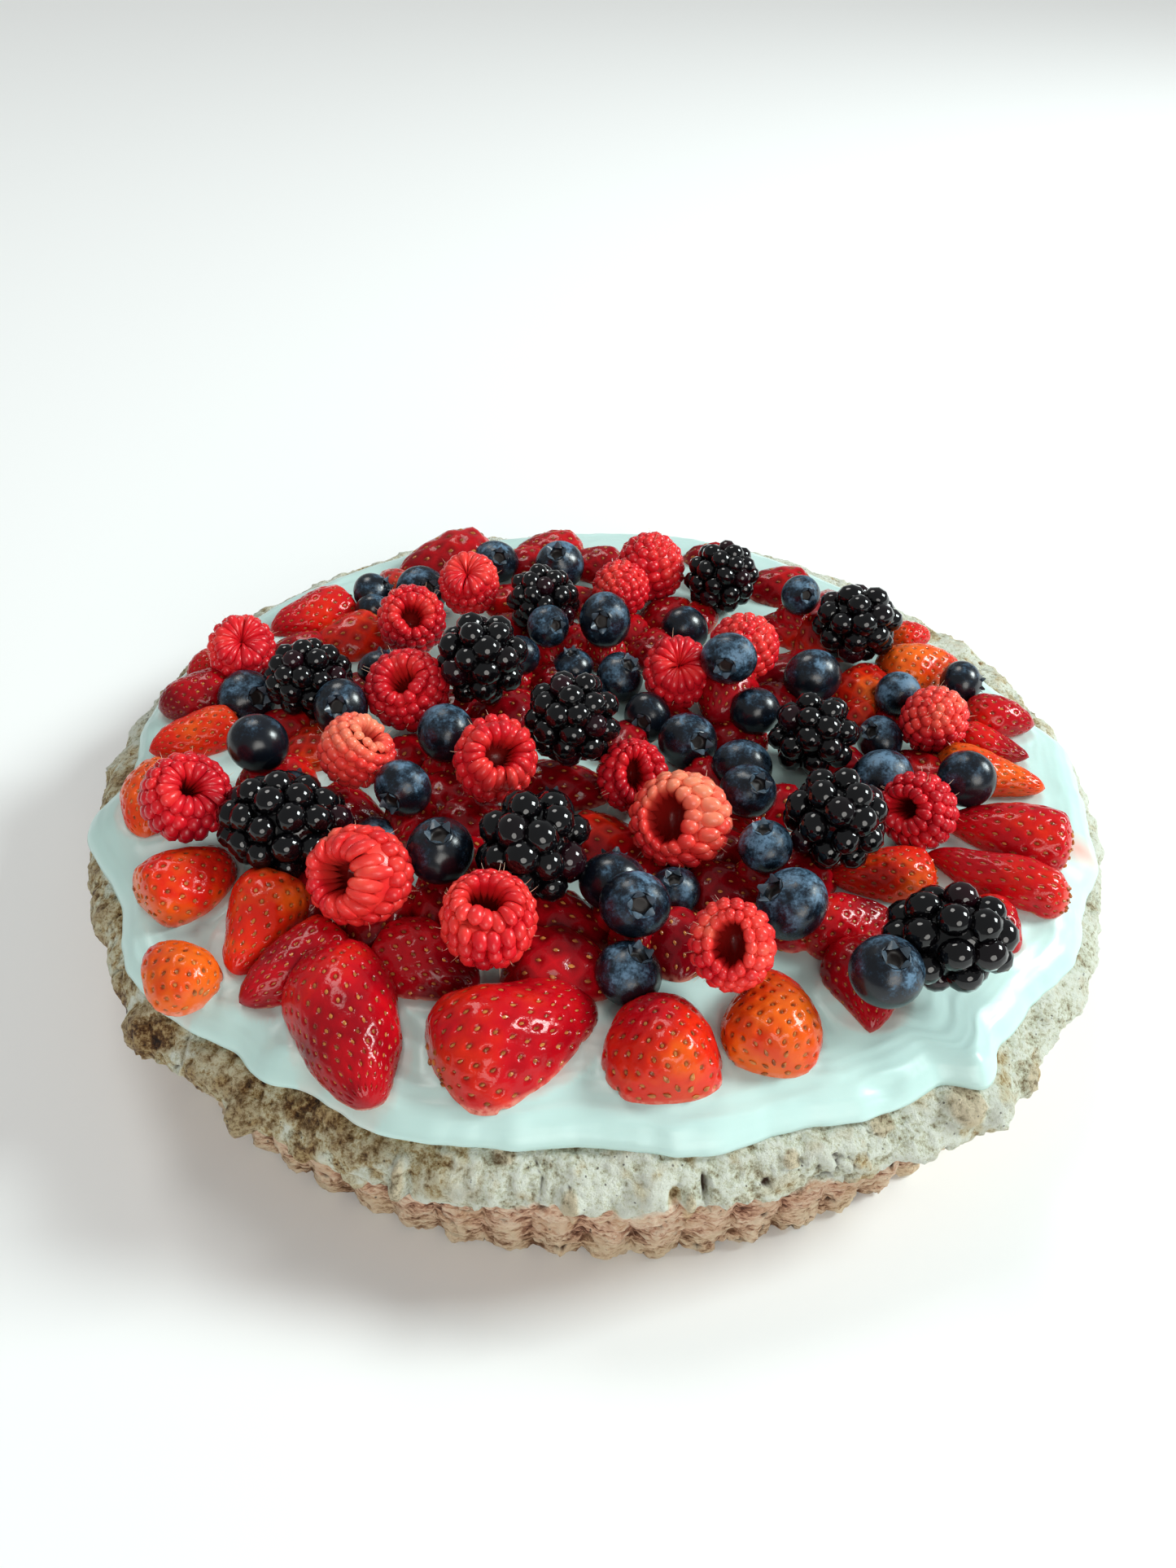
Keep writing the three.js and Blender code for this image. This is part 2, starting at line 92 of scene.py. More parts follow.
def camera_turn():
    level_part = math.cos(CAMERA_DOWN)
    forward = Vector((math.sin(CAMERA_YAW) * level_part, math.cos(CAMERA_YAW) * level_part,
                      -math.sin(CAMERA_DOWN)))
    level = forward.cross(Vector((0, 0, 1))).normalized()
    above = level.cross(forward)
    right = level * math.cos(CAMERA_ROLL) + above * math.sin(CAMERA_ROLL)
    up = above * math.cos(CAMERA_ROLL) - level * math.sin(CAMERA_ROLL)
    return Matrix((right, up, -forward)).transposed()


camera = bpy.data.objects.new("camera", bpy.data.cameras.new("camera"))
bpy.context.collection.objects.link(camera)
camera.matrix_world = Matrix.Translation(CAMERA_PLACE) @ camera_turn().to_4x4()
camera.data.lens = FOCAL_LENGTH_MM
camera.data.clip_start = CLIP_START
bpy.context.scene.camera = camera

# %% [markdown]
# ## Light and floor
#
# The cake stands in soft daylight. A pale world gives the even part of it, and a square lamp to the
# right, like a window, gives the shine on the wet fruit. Two wide suns, one from behind and one from
# the front, keep the shadows soft and the floor even.

# %% Light and floor
WORLD_TINT = (0.95, 0.99, 1.0, 1.0)
WORLD_STRENGTH = 0.29
WINDOW_PLACE = Vector((1.60, 0.25, 1.24))
WINDOW_SIZE = 0.62
WINDOW_WATTS = 37.0
WINDOW_TINT = (0.90, 1.0, 0.99)
# The way that each soft light comes from, its spread in degrees, its strength and its tint
SOFT_LIGHTS = {
    "daylight": ((-0.30, 0.55, 0.9), 22, 0.74, (1.0, 0.99, 0.95)),
    "front_fill": ((0.25, -0.95, 0.45), 34, 1.3, (1.0, 0.98, 0.93)),
}


def add_light(name, kind, comes_from):
    light = bpy.data.objects.new(name, bpy.data.lights.new(name, kind))
    bpy.context.collection.objects.link(light)
    light.location = comes_from
    light.rotation_mode = "QUATERNION"
    light.rotation_quaternion = (-comes_from).to_track_quat("-Z", "Y")
    return light.data


window = add_light("window", "AREA", WINDOW_PLACE)
window.shape = "SQUARE"
window.size = WINDOW_SIZE
window.energy = WINDOW_WATTS
window.color = WINDOW_TINT
for light_name, (comes_from, spread, strength, tint) in SOFT_LIGHTS.items():
    light = add_light(light_name, "SUN", Vector(comes_from))
    light.angle = math.radians(spread)
    light.energy = strength
    light.color = tint
world = bpy.data.worlds.new("soft_daylight")
world.use_nodes = True
world.node_tree.nodes["Background"].inputs["Color"].default_value = WORLD_TINT
world.node_tree.nodes["Background"].inputs["Strength"].default_value = WORLD_STRENGTH
bpy.context.scene.world = world
bpy.context.scene.view_settings.view_transform = "Standard"

# %% [markdown]
# ## Helpers
#
# Blender's operators act on what is selected, so each step starts by selecting just what it is meant
# for. These helpers keep that short.

# %% Helpers for selecting and editing


def pick(piece):
    bpy.ops.object.select_all(action="DESELECT")
    piece.select_set(True)
    bpy.context.view_layer.objects.active = piece
    return piece


def fresh(name):
    piece = bpy.context.object
    piece.name = name
    piece.data.name = name
    return pick(piece)


def edit(piece):
    pick(piece)
    bpy.ops.object.mode_set(mode="EDIT")
    bpy.ops.mesh.select_all(action="DESELECT")


def done():
    bpy.ops.object.mode_set(mode="OBJECT")


def select_points(piece, wanted):
    mesh = bmesh.from_edit_mesh(piece.data)
    bpy.ops.mesh.select_mode(type="VERT")
    for point in mesh.verts:
        point.select = wanted(point.co)
    mesh.select_flush_mode()
    bmesh.update_edit_mesh(piece.data)


def select_faces(piece, wanted):
    bpy.ops.mesh.select_mode(type="FACE")
    mesh = bmesh.from_edit_mesh(piece.data)
    for face in mesh.faces:
        face.select = wanted(face)
    mesh.select_flush_mode()
    bmesh.update_edit_mesh(piece.data)


def apply_modifier(piece, kind, **settings):
    pick(piece)
    modifier = piece.modifiers.new(kind.lower(), kind)
    for key, value in settings.items():
        setattr(modifier, key, value)
    bpy.ops.object.modifier_apply(modifier=modifier.name)


def apply_place(piece):
    pick(piece)
    bpy.ops.object.transform_apply(location=True, rotation=True, scale=True)


def copy_of(master, name):
    piece = master.copy()
    piece.data = master.data.copy()
    piece.name = name
    piece.data.name = name
    bpy.context.collection.objects.link(piece)
    return piece


def join(pieces, name):
    bpy.ops.object.select_all(action="DESELECT")
    for piece in pieces:
        piece.select_set(True)
    bpy.context.view_layer.objects.active = pieces[0]
    bpy.ops.object.join()
    return fresh(name)


# Points nearer to each other than this are one point
CLOSE = MM / 100


def turned_from(profile, steps, name):
    """A closed profile of (radius, height) in mm, turned once round the Z axis."""
    bpy.ops.object.select_all(action="DESELECT")
    bpy.ops.mesh.primitive_circle_add(vertices=3, radius=MM)
    piece = fresh(name)
    edit(piece)
    bpy.ops.mesh.select_all(action="SELECT")
    bpy.ops.mesh.merge(type="CENTER")
    first_radius, first_height = profile[0]
    bpy.ops.transform.translate(value=(first_radius * MM, 0, first_height * MM))
    for (from_radius, from_height), (radius, height) in zip(profile, profile[1:]):
        step = ((radius - from_radius) * MM, 0, (height - from_height) * MM)
        bpy.ops.mesh.extrude_region_move(TRANSFORM_OT_translate={"value": step})
    done()
    apply_modifier(piece, "SCREW", angle=2 * math.pi, steps=steps, render_steps=steps,
                   use_merge_vertices=True, merge_threshold=CLOSE, use_normal_calculate=True)
    edit(piece)
    bpy.ops.mesh.select_all(action="SELECT")
    bpy.ops.mesh.remove_doubles(threshold=CLOSE)
    bpy.ops.mesh.normals_make_consistent(inside=False)
    done()
    return piece


def curve_through(points, spacing):
    """Points along straight runs between given (radius, height) points, about a spacing apart."""
    line = [points[0]]
    for (r1, h1), (r2, h2) in zip(points, points[1:]):
        count = max(1, round(math.hypot(r2 - r1, h2 - h1) / spacing)) if spacing else 1
        line += [(r1 + (r2 - r1) * i / count, h1 + (h2 - h1) * i / count) for i in range(1, count + 1)]
    return line


def store(piece, name, values):
    layer = piece.data.attributes.new(name, "FLOAT", "POINT")
    layer.data.foreach_set("value", values)


def finished(piece, *nodes):
    """Rides on the cake and stands for the CAD nodes that are named."""
    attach(piece, "root")
    if nodes:
        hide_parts(*nodes)
    return piece


# %% [markdown]
# ## Helpers for materials
#
# A material is a small tree of nodes. Each helper adds a node, sets its inputs and returns its output,
# so that a finish reads as a few lines: clouds, cells, a smooth step, a colour ramp, a blend, a bump.

# %% Helpers for materials


def start_material(name):
    material = bpy.data.materials.new(name)
    material.use_nodes = True
    tree = material.node_tree
    return material, tree, tree.nodes["Principled BSDF"]


def add_node(tree, kind, **inputs):
    node = tree.nodes.new(kind)
    for key, value in inputs.items():
        socket = node.inputs[key.replace("_", " ").title() if key not in node.inputs else key]
        if hasattr(value, "is_output"):
            tree.links.new(value, socket)
        else:
            socket.default_value = value
    return node


def place_in(tree, scale=(1, 1, 1)):
    place = tree.nodes.new("ShaderNodeTexCoord").outputs["Object"]
    return add_node(tree, "ShaderNodeMapping", Vector=place, Scale=scale).outputs["Vector"]


def cloudy(tree, place, scale, detail=3.0, rough=0.55):
    node = add_node(tree, "ShaderNodeTexNoise", Vector=place, Scale=scale, Detail=detail, Roughness=rough)
    return node.outputs["Fac"]


def cells(tree, place, scale, feature="F1"):
    node = tree.nodes.new("ShaderNodeTexVoronoi")
    node.feature = feature
    tree.links.new(place, node.inputs["Vector"])
    node.inputs["Scale"].default_value = scale
    return node.outputs["Distance"]


def stepped(tree, value, low, high, out_low=0.0, out_high=1.0):
    node = tree.nodes.new("ShaderNodeMapRange")
    node.interpolation_type = "SMOOTHSTEP"
    tree.links.new(value, node.inputs["Value"])
    for key, number in (("From Min", low), ("From Max", high), ("To Min", out_low), ("To Max", out_high)):
        node.inputs[key].default_value = number
    return node.outputs["Result"]


def combine(tree, operation, first, second):
    node = tree.nodes.new("ShaderNodeMath")
    node.operation = operation
    for socket, value in zip(node.inputs, (first, second)):
        if hasattr(value, "is_output"):
            tree.links.new(value, socket)
        else:
            socket.default_value = value
    return node.outputs["Value"]


def blend(tree, share, first, second):
    node = tree.nodes.new("ShaderNodeMix")
    node.data_type = "RGBA"
    sockets = [s for s in node.inputs if s.name in ("A", "B") and s.type == "RGBA"]
    for socket, value in zip([node.inputs["Factor"], *sockets], (share, first, second)):
        if hasattr(value, "is_output"):
            tree.links.new(value, socket)
        else:
            socket.default_value = value if isinstance(value, float) else (*value, 1.0)
    return [s for s in node.outputs if s.type == "RGBA"][0]


def ramp(tree, value, stops):
    node = tree.nodes.new("ShaderNodeValToRGB")
    tree.links.new(value, node.inputs["Fac"])
    while len(node.color_ramp.elements) < len(stops):
        node.color_ramp.elements.new(0.5)
    for element, (at, colour) in zip(node.color_ramp.elements, stops):
        element.position = at
        element.color = (*colour, 1.0)
    return node.outputs["Color"]


def value_of(tree, name):
    node = tree.nodes.new("ShaderNodeAttribute")
    node.attribute_name = name
    return node.outputs["Fac"]


def bump(tree, shader, height, depth, strength=1.0):
    node = tree.nodes.new("ShaderNodeBump")
    node.inputs["Strength"].default_value = strength
    node.inputs["Distance"].default_value = depth
    tree.links.new(height, node.inputs["Height"])
    tree.links.new(node.outputs["Normal"], shader.inputs["Normal"])


# %% [markdown]
# ## The meringue base
#
# The base was baked in a fluted tin, so its side is a ring of 76 round lobes with sharp valleys
# between them. The crust rose over the tin's edge and spread. A profile of points is turned round the
# axis, and then the points of the side are pulled in, least on the round front of a lobe and most in
# the valley. Doing it after the turn keeps the profile simple.

# %% Sizes of the base
FLUTES = 76
STEPS_A_FLUTE = 16
FLUTE_DEPTH = 2.3
SIDE_RADIUS = 136
SIDE_HIGH = 23
FLUTED_FROM = 130
SIDE_BOTTOM = [(0, 0), (132.8, 0), (134.3, 0.7)]
SIDE_TOP = [(134.6, 1.6), (136.6, 22.6)]
CRUST = [
    (137.4, 24.2), (139.2, 25.6), (140.2, 29), (139.6, 33), (137.4, 36.2), (133.6, 38.8), (128, 40.2),
]
UNDER_CREAM = [(116, 38.4), (0, 37.6)]
# How far apart the profile's points are
SIDE_SPACING = 0.8
CRUST_SPACING = 0.72
# The crust's bulges: direction in degrees, reach in mm, half width in degrees
BULGES = [(-134, 3.4, 8), (-52, 4.8, 7), (-34, 1.6, 6), (62, 2.4, 9), (118, 2.8, 8)]
CREAM_TOP = 45.4


def degrees_apart(first, second):
    return (first - second + 180) % 360 - 180


def bulge_at(degrees):
    return sum(reach * math.exp(-(degrees_apart(degrees, at) / half) ** 2) for at, reach, half in BULGES)


# %% Build the base
crust_line = curve_through([SIDE_TOP[-1]] + CRUST, CRUST_SPACING)[1:]
profile = SIDE_BOTTOM + curve_through(SIDE_TOP, SIDE_SPACING) + crust_line + UNDER_CREAM
base = turned_from(profile, FLUTES * STEPS_A_FLUTE, "meringue_crust")
print("base points:", len(base.data.vertices))


def flute_phase(point):
    turn = math.degrees(math.atan2(point.y, point.x)) / 360 * FLUTES * STEPS_A_FLUTE
    step = round(turn) % STEPS_A_FLUTE
    return min(step, STEPS_A_FLUTE - step)


edit(base)
for phase in range(STEPS_A_FLUTE // 2):
    pull = FLUTE_DEPTH * (1 - math.sin(math.pi * phase / STEPS_A_FLUTE))
    share = 1 - pull / SIDE_RADIUS
    select_points(base, lambda p: p.z < SIDE_HIGH * MM and p.xy.length > FLUTED_FROM * MM
                  and flute_phase(p) == phase)
    bpy.ops.transform.resize(value=(share, share, 1), center_override=(0, 0, 0))
done()
print("flutes pulled in")

# %% [markdown]
# ## Relief of the base
#
# Baked meringue is never smooth. The foam rises in lumps and bubbles, nuts stand out, and the side
# tore in thin layers against the tin. It could be sculpted by hand, but noise read at each point's
# place gives this kind of relief all round and is changed by a few values. Single lumps and pits that
# a look from the front shows are placed one by one. What moved a point is also stored on it as
# attributes, so that the colours fall where the relief is.

# %% Relief of the base
# Spots: the size of their cells in mm, how far a spot reaches in its cell, which share of cells has one
NUT_SPOTS = (11.0, 0.26, 0.25)
PIT_SPOTS = (6.0, 0.22, 0.2)
SLIT_SPOTS = (3.0, 0.36, 0.42)
CRUMB_SPOTS = (4.2, 0.36, 0.3)
# How far things stand out or go in, in mm
NUT_HIGH = 1.1
PIT_DEEP = 1.2
CRACK_DEEP = 1.2
SLIT_DEEP = 2.4
CRUMB_HIGH = 0.9
CRACK_WIDE = 0.035
LAYER_THICK = 1.6


def lumps(place, size):
    """Noise from -1 to 1 whose lumps are about a size in mm."""
    return noise.noise(place / (size * MM))


def between_limits(value, low, high):
    """0 at the low limit and below, 1 at the high limit and above."""
    return max(0.0, min(1.0, (value - low) / (high - low)))


def spots(place, size, reach, share):
    """Round spots in some of the cells of a pattern: 1 in the middle of a spot, 0 outside it."""
    distances, points = noise.voronoi(place / (size * MM))
    if noise.cell(points[0] * 5.0) * 0.5 + 0.5 > share:
        return 0.0
    return max(0.0, 1 - distances[0] / reach)


def crooked(place, size, amount):
    """A place that is shifted by noise, so that a pattern read there has uneven outlines."""
    return place + noise.noise_vector(place / (size * MM)) * amount * MM


def crust_relief(place):
    """How far the crust stands out at a place, in mm, and how much of it is pit, nut and rough."""
    broad = 1.7 * lumps(place, 17) + 1.5 * lumps(place + Vector((1, 2, 3)), 8)
    crinkle = noise.turbulence(place / (3.6 * MM), 4, True, noise_basis="PERLIN_ORIGINAL")
    grain = 0.35 * lumps(place + Vector((4, 5, 6)), 2.6) + 0.45 * lumps(place, 1.3)
    nut = spots(crooked(place, 3, 4.2) + Vector((3, 3, 3)), *NUT_SPOTS)
    pit = spots(crooked(place, 3, 2.0) + Vector((5, 2, 1)), *PIT_SPOTS)
    line = abs(lumps(place + Vector((9, 0, 4)), 13) + 0.3 * lumps(place, 4))
    cracked = between_limits(lumps(place + Vector((7, 1, 2)), 22), 0.08, 0.22)
    crack = max(0.0, 1 - line / CRACK_WIDE) * cracked
    rough = grain - 0.9 * (crinkle - 0.55)
    out = broad + rough + NUT_HIGH * math.sqrt(nut) - PIT_DEEP * pit - CRACK_DEEP * crack
    return out, max(pit, 0.9 * crack), nut, 1.3 * rough + 0.2 * broad


def side_relief(place):
    """The torn layers of the side: long across, thin in height."""
    uneven = crooked(place, 5, 2.2)
    layer = Vector((uneven.x / 2.0, uneven.y / 2.0, uneven.z)) / (LAYER_THICK * MM)
    torn = noise.turbulence(layer, 3, True, noise_basis="PERLIN_ORIGINAL")
    broad = 0.8 * lumps(place, 9) + 1.0 * lumps(place, 3.6)
    wide = Vector((uneven.x / 1.9, uneven.y / 1.9, uneven.z))
    slit = spots(wide + Vector((1, 1, 1)), *SLIT_SPOTS)
    crumb = spots(crooked(place, 3, 1.5) + Vector((2, 8, 1)), *CRUMB_SPOTS)
    rough = 0.5 * lumps(place, 1.5) - 1.0 * (torn - 0.6)
    out = broad + rough - SLIT_DEEP * slit + CRUMB_HIGH * crumb
    return out, 1.8 * slit, crumb, rough + 0.3 * broad


# %% Single things on the crust
# Where the oven browned the crust most: direction and half width in degrees, and how much
BROWNED = [
    (-137, 11, 1.0), (-120, 14, 1.0), (-160, 17, 0.9), (160, 15, 0.7), (95, 12, 0.5), (30, 11, 0.5),
]
CRUST_RADIUS = 138
ROUGH_LIMIT = 0.3
# Single things on the crust that a look from the front shows: direction in degrees, height, half width,
# half height and how far they stand out in mm, and which of the stored values they raise
SHOWN_ON_CRUST = [
    (-135.5, 31, 6.0, 5.0, 2.6, "toast"), (-121.4, 30, 4.0, 4.5, 3.6, "toast"),
    (-115.5, 26, 3.0, 3.5, 1.8, "toast"), (-110.5, 25, 4.0, 3.0, 1.4, "toast"),
    (-105.7, 29, 1.8, 7.5, 2.8, "nut"), (-113.6, 37, 3.5, 1.8, 1.2, "nut"),
    (-91.1, 32, 2.4, 3.2, 1.7, "nut"), (-72.1, 36, 2.6, 1.8, 1.2, "nut"),
    (-84.5, 30, 6.5, 7.0, 2.2, "rough"), (-82.5, 33, 1.8, 2.2, -2.4, "toast"),
    (-74.6, 33, 1.4, 1.2, -1.6, "pit"), (-81.2, 29, 1.6, 6.0, 1.6, "nut"),
    (-79.9, 34, 0.9, 2.8, -3.4, "pit"), (-79.5, 28, 1.2, 2.6, -3.6, "pit"),
    (-80.8, 24, 3.6, 2.4, 0.8, "nut"), (-73.5, 22, 1.5, 1.2, -2.6, "pit"),
    (-55.2, 36, 5.0, 4.0, 2.0, "nut"), (-52.0, 33, 4.0, 4.0, 2.2, "rough"),
    (-63.0, 37, 3.6, 3.0, 1.4, "nut"), (-66.0, 27, 6.0, 2.0, 1.0, "nut"),
    (-58.0, 28, 2.0, 1.6, -1.8, "pit"), (-46.0, 30, 4.0, 4.0, 1.5, "nut"),
    (-97.0, 38, 3.0, 1.6, 0.8, "nut"),
]


def toast_at(around, place):
    """How brown a place is: most in the browned stretches and low on the crust, and patchy."""
    near = max(amount * math.exp(-abs(degrees_apart(around, at) / half) ** 3)
               for at, half, amount in BROWNED)
    outward = 0.6 + 0.6 * between_limits(38 - place.z / MM, 0, 9)
    mottled = 0.8 * lumps(place + Vector((2, 2, 7)), 12) + 0.6 * lumps(place, 5) + 0.5 * lumps(place, 2.1)
    return near * outward * (1 + 0.7 * mottled) + 0.75 * mottled


def shown_things(around, place, values):
    """Adds the single things to the values of a place, and returns how far they stand out there."""
    out = 0.0
    uneven = 0.25 * lumps(place, 2.5)
    for direction, height, half_width, half_height, reach, name in SHOWN_ON_CRUST:
        across = math.radians(degrees_apart(around, direction)) * CRUST_RADIUS / half_width
        above = (place.z / MM - height) / half_height
        amount = max(0.0, 1 - across ** 2 - above ** 2 + uneven)
        if abs(across) < 1.2 and amount > 0:
            out += reach * amount ** 0.7
            limit = ROUGH_LIMIT if name == "rough" else 1.0
            values[name] = max(values[name], min(limit, 1.4 * amount))
    return out


def valley_at(around):
    """1 in a valley between two flutes, falling to 0 on their round fronts."""
    return (1 - abs(math.sin(math.pi * around / 360 * FLUTES))) ** 1.5


# %% Shape the base
# Where the crust begins, in mm over the foot. At the front it begins higher: how much, and the direction
# and half width in degrees
BORDER = 26.0
HIGH_BORDER = 4.0
HIGH_BORDER_AT = -84
HIGH_BORDER_WIDE = 17
OVERHANG = 1.3
SHOWN_FROM_RADIUS = 126
FOOT_HIGH = 14


def border_at(around, level):
    from_front = degrees_apart(around, HIGH_BORDER_AT) / HIGH_BORDER_WIDE
    border = BORDER + HIGH_BORDER * math.exp(-from_front ** 2)
    border += 2.8 * lumps(level, 9) + 2.0 * lumps(level, 3.5)
    return border


def shape_base(piece):
    """Moves every point by the relief, and stores what the material reads."""
    stored = {"pit": [], "nut": [], "side": [], "toast": [], "rough": [], "foot": []}
    moved = []
    for point in piece.data.vertices:
        place = point.co.copy()
        around = math.degrees(math.atan2(place.y, place.x))
        height = place.z / MM
        radius = place.xy.length / MM
        level = Vector((place.x, place.y, 0))
        border = border_at(around, level)
        on_side = between_limits(border - height, -0.5, 0.5)
        crust_out, crust_pit, nut, crust_rough = crust_relief(place)
        side_out, side_pit, crumb, side_rough = side_relief(place)
        # Painted shade: the valleys between the flutes get a lower relief value, which darkens their
        # colour
        valley_shade = (0.8 + lumps(level, 6)) * valley_at(around)
        values = {
            "pit": crust_pit * (1 - on_side) + side_pit * on_side,
            "nut": nut * (1 - on_side) + crumb * on_side,
            "side": on_side,
            "foot": between_limits(FOOT_HIGH - height + 6 * lumps(place, 6), 0, 12),
            "toast": toast_at(around, place) * (1 - on_side),
            "rough": crust_rough * (1 - on_side) + (side_rough - valley_shade) * on_side,
        }
        shown = 1.0 if radius > SHOWN_FROM_RADIUS and height > 0.5 else 0.0
        overhang = OVERHANG * between_limits(height - border, -0.5, 1.2)
        overhang *= between_limits(36 - height, 0, 6)
        out = (crust_out + overhang) * (1 - on_side) + side_out * on_side
        out += shown_things(around, place, values)
        reach = bulge_at(around) * between_limits(height, 22, 28) * (1 if radius > 130 else 0)
        moved.append(place + point.normal * (out * shown * MM) + level.normalized() * (reach * MM))
        for name, value in values.items():
            stored[name].append(value)
    for point, place in zip(piece.data.vertices, moved):
        point.co = (place.x, place.y, max(0.0, place.z))
    for name, numbers in stored.items():
        store(piece, name, numbers)


shape_base(base)
pick(base)
bpy.ops.object.shade_smooth()
print("base box mm:", [round(v / MM, 1) for v in base.dimensions])

# %% [markdown]
# ## The meringue's finish
#
# Meringue is dull and nearly white where it is thin, ochre where nuts show through, and tan to dark
# brown where the oven caught it. One tone is mixed from the stored relief and two sizes of noise. All
# the colour ramps read that tone, so that hollows and the valleys between the flutes are painted
# darker than ridges in each of them, a painted shade, and the stored values then choose between the
# ramps. Pits, cracks and slits are painted dark as well, also a painted shade.

# %% Colours of the meringue
# Each ramp runs from the hollows, painted darker as painted shade, to the ridges: a tone, and the colour
# there
PALE_CRUST = [
    (0.30, (0.26, 0.20, 0.11)), (0.40, (0.57, 0.54, 0.38)), (0.49, (0.79, 0.81, 0.63)),
    (0.60, (0.95, 0.98, 0.86)),
]
OCHRE_CRUST = [(0.35, (0.30, 0.19, 0.08)), (0.6, (0.78, 0.66, 0.42))]
TAN_CRUST = [
    (0.32, (0.12, 0.056, 0.018)), (0.42, (0.37, 0.22, 0.080)), (0.52, (0.62, 0.49, 0.26)),
    (0.63, (0.82, 0.76, 0.54)),
]
DARK_CRUST = [
    (0.34, (0.022, 0.009, 0.004)), (0.45, (0.10, 0.040, 0.012)), (0.55, (0.27, 0.14, 0.045)),
    (0.66, (0.58, 0.42, 0.20)),
]
SIDE_PINK = [
    (0.32, (0.095, 0.030, 0.016)), (0.42, (0.40, 0.18, 0.11)), (0.52, (0.75, 0.45, 0.30)),
    (0.65, (0.93, 0.72, 0.54)),
]
SIDE_YELLOW = (0.64, 0.42, 0.23)
PALE_FOOT = [(0.34, (0.20, 0.10, 0.045)), (0.45, (0.52, 0.37, 0.21)), (0.56, (0.80, 0.68, 0.46))]
NUT_BROWN = [(0.36, (0.18, 0.075, 0.022)), (0.6, (0.72, 0.50, 0.23))]
SPECK_COLOUR = (0.05, 0.03, 0.02)
# Painted shade in the pits, cracks and slits
PIT_SHADE = (0.060, 0.024, 0.012)
# What the tone is mixed from, and what is taken off it so that it falls within the ramps
PAINTED_SHADE_FROM_RELIEF = 0.28
TONE_FROM_MIDDLE = 0.3
TONE_FROM_FINE = 1.1
TONE_OFF = 0.335

# %% Meringue material


def mixed_tone(tree, middle, fine):
    # Painted shade: the stored relief is low in hollows and in the valleys between the flutes, and
    # darkens the tone there
    height = stepped(tree, value_of(tree, "rough"), -1.2, 1.0)
    tone = combine(tree, "ADD", combine(tree, "MULTIPLY", height, PAINTED_SHADE_FROM_RELIEF),
                   combine(tree, "MULTIPLY", middle, TONE_FROM_MIDDLE))
    tone = combine(tree, "ADD", tone, combine(tree, "MULTIPLY", fine, TONE_FROM_FINE))
    return combine(tree, "SUBTRACT", tone, TONE_OFF)


def crust_colour(tree, place, tone):
    """Pale meringue with ochre clouds, then tan and dark brown where the oven browned it."""
    ochre = stepped(tree, cloudy(tree, place, 75.0, 4.0), 0.53, 0.68, 0.0, 0.55)
    pale = blend(tree, ochre, ramp(tree, tone, PALE_CRUST), ramp(tree, tone, OCHRE_CRUST))
    toast = value_of(tree, "toast")
    crust = blend(tree, stepped(tree, toast, 0.1, 0.55), pale, ramp(tree, tone, TAN_CRUST))
    return blend(tree, stepped(tree, toast, 0.5, 1.25), crust, ramp(tree, tone, DARK_CRUST))


def side_colour(tree, middle, tone):
    """The side is pinker, with yellow clouds, and paler towards its foot."""
    yellow = stepped(tree, middle, 0.48, 0.62, 0.0, 0.35)
    side = blend(tree, yellow, ramp(tree, tone, SIDE_PINK), SIDE_YELLOW)
    foot = combine(tree, "MULTIPLY", value_of(tree, "foot"), 0.6)
    return blend(tree, foot, side, ramp(tree, tone, PALE_FOOT))


def dark_specks(tree, place):
    """Small dark grains, in clusters. The cells are read at shifted places, so that none is round."""
    uneven = add_node(tree, "ShaderNodeTexNoise", Vector=place, Scale=700.0, Detail=2.0).outputs["Color"]
    shifted = tree.nodes.new("ShaderNodeVectorMath")
    shifted.operation = "MULTIPLY_ADD"
    tree.links.new(uneven, shifted.inputs[0])
    shifted.inputs[1].default_value = (0.9 * MM, 0.9 * MM, 0.9 * MM)
    tree.links.new(place, shifted.inputs[2])
    dark = stepped(tree, cells(tree, shifted.outputs["Vector"], 560.0), 0.08, 0.20, 0.85, 0.0)
    return combine(tree, "MULTIPLY", dark, stepped(tree, cloudy(tree, place, 200.0), 0.50, 0.60))


def meringue_material():
    material, tree, shader = start_material("baked_meringue")
    place = place_in(tree)
    middle = cloudy(tree, place, 120.0, 4.0)
    crinkled = cloudy(tree, place, 900.0, 5.0, 0.75)
    layered = cloudy(tree, place_in(tree, (0.55, 0.55, 1.6)), 620.0, 5.0, 0.7)
    on_side = value_of(tree, "side")
    fine = blend(tree, on_side, crinkled, layered)
    tone = mixed_tone(tree, middle, fine)
    colour = blend(tree, on_side, crust_colour(tree, place, tone), side_colour(tree, middle, tone))
    nut = stepped(tree, value_of(tree, "nut"), 0.15, 0.9, 0.0, 0.55)
    colour = blend(tree, nut, colour, ramp(tree, tone, NUT_BROWN))
    colour = blend(tree, dark_specks(tree, place), colour, SPECK_COLOUR)
    # Painted shade: pits, cracks and slits are darkened
    colour = blend(tree, stepped(tree, value_of(tree, "pit"), 0.15, 1.0), colour, PIT_SHADE)
    tree.links.new(colour, shader.inputs["Base Color"])
    dull = stepped(tree, value_of(tree, "toast"), 0.5, 1.1, 0.85, 0.4)
    tree.links.new(dull, shader.inputs["Roughness"])
    shader.inputs["Specular IOR Level"].default_value = 0.3
    grain = combine(tree, "MULTIPLY", cloudy(tree, place, 2400.0, 3.0), 0.3)
    bump(tree, shader, combine(tree, "ADD", fine, grain), 1.6 * MM, 1.0)
    return material


base.data.materials.append(meringue_material())
finished(base, "meringue_base")

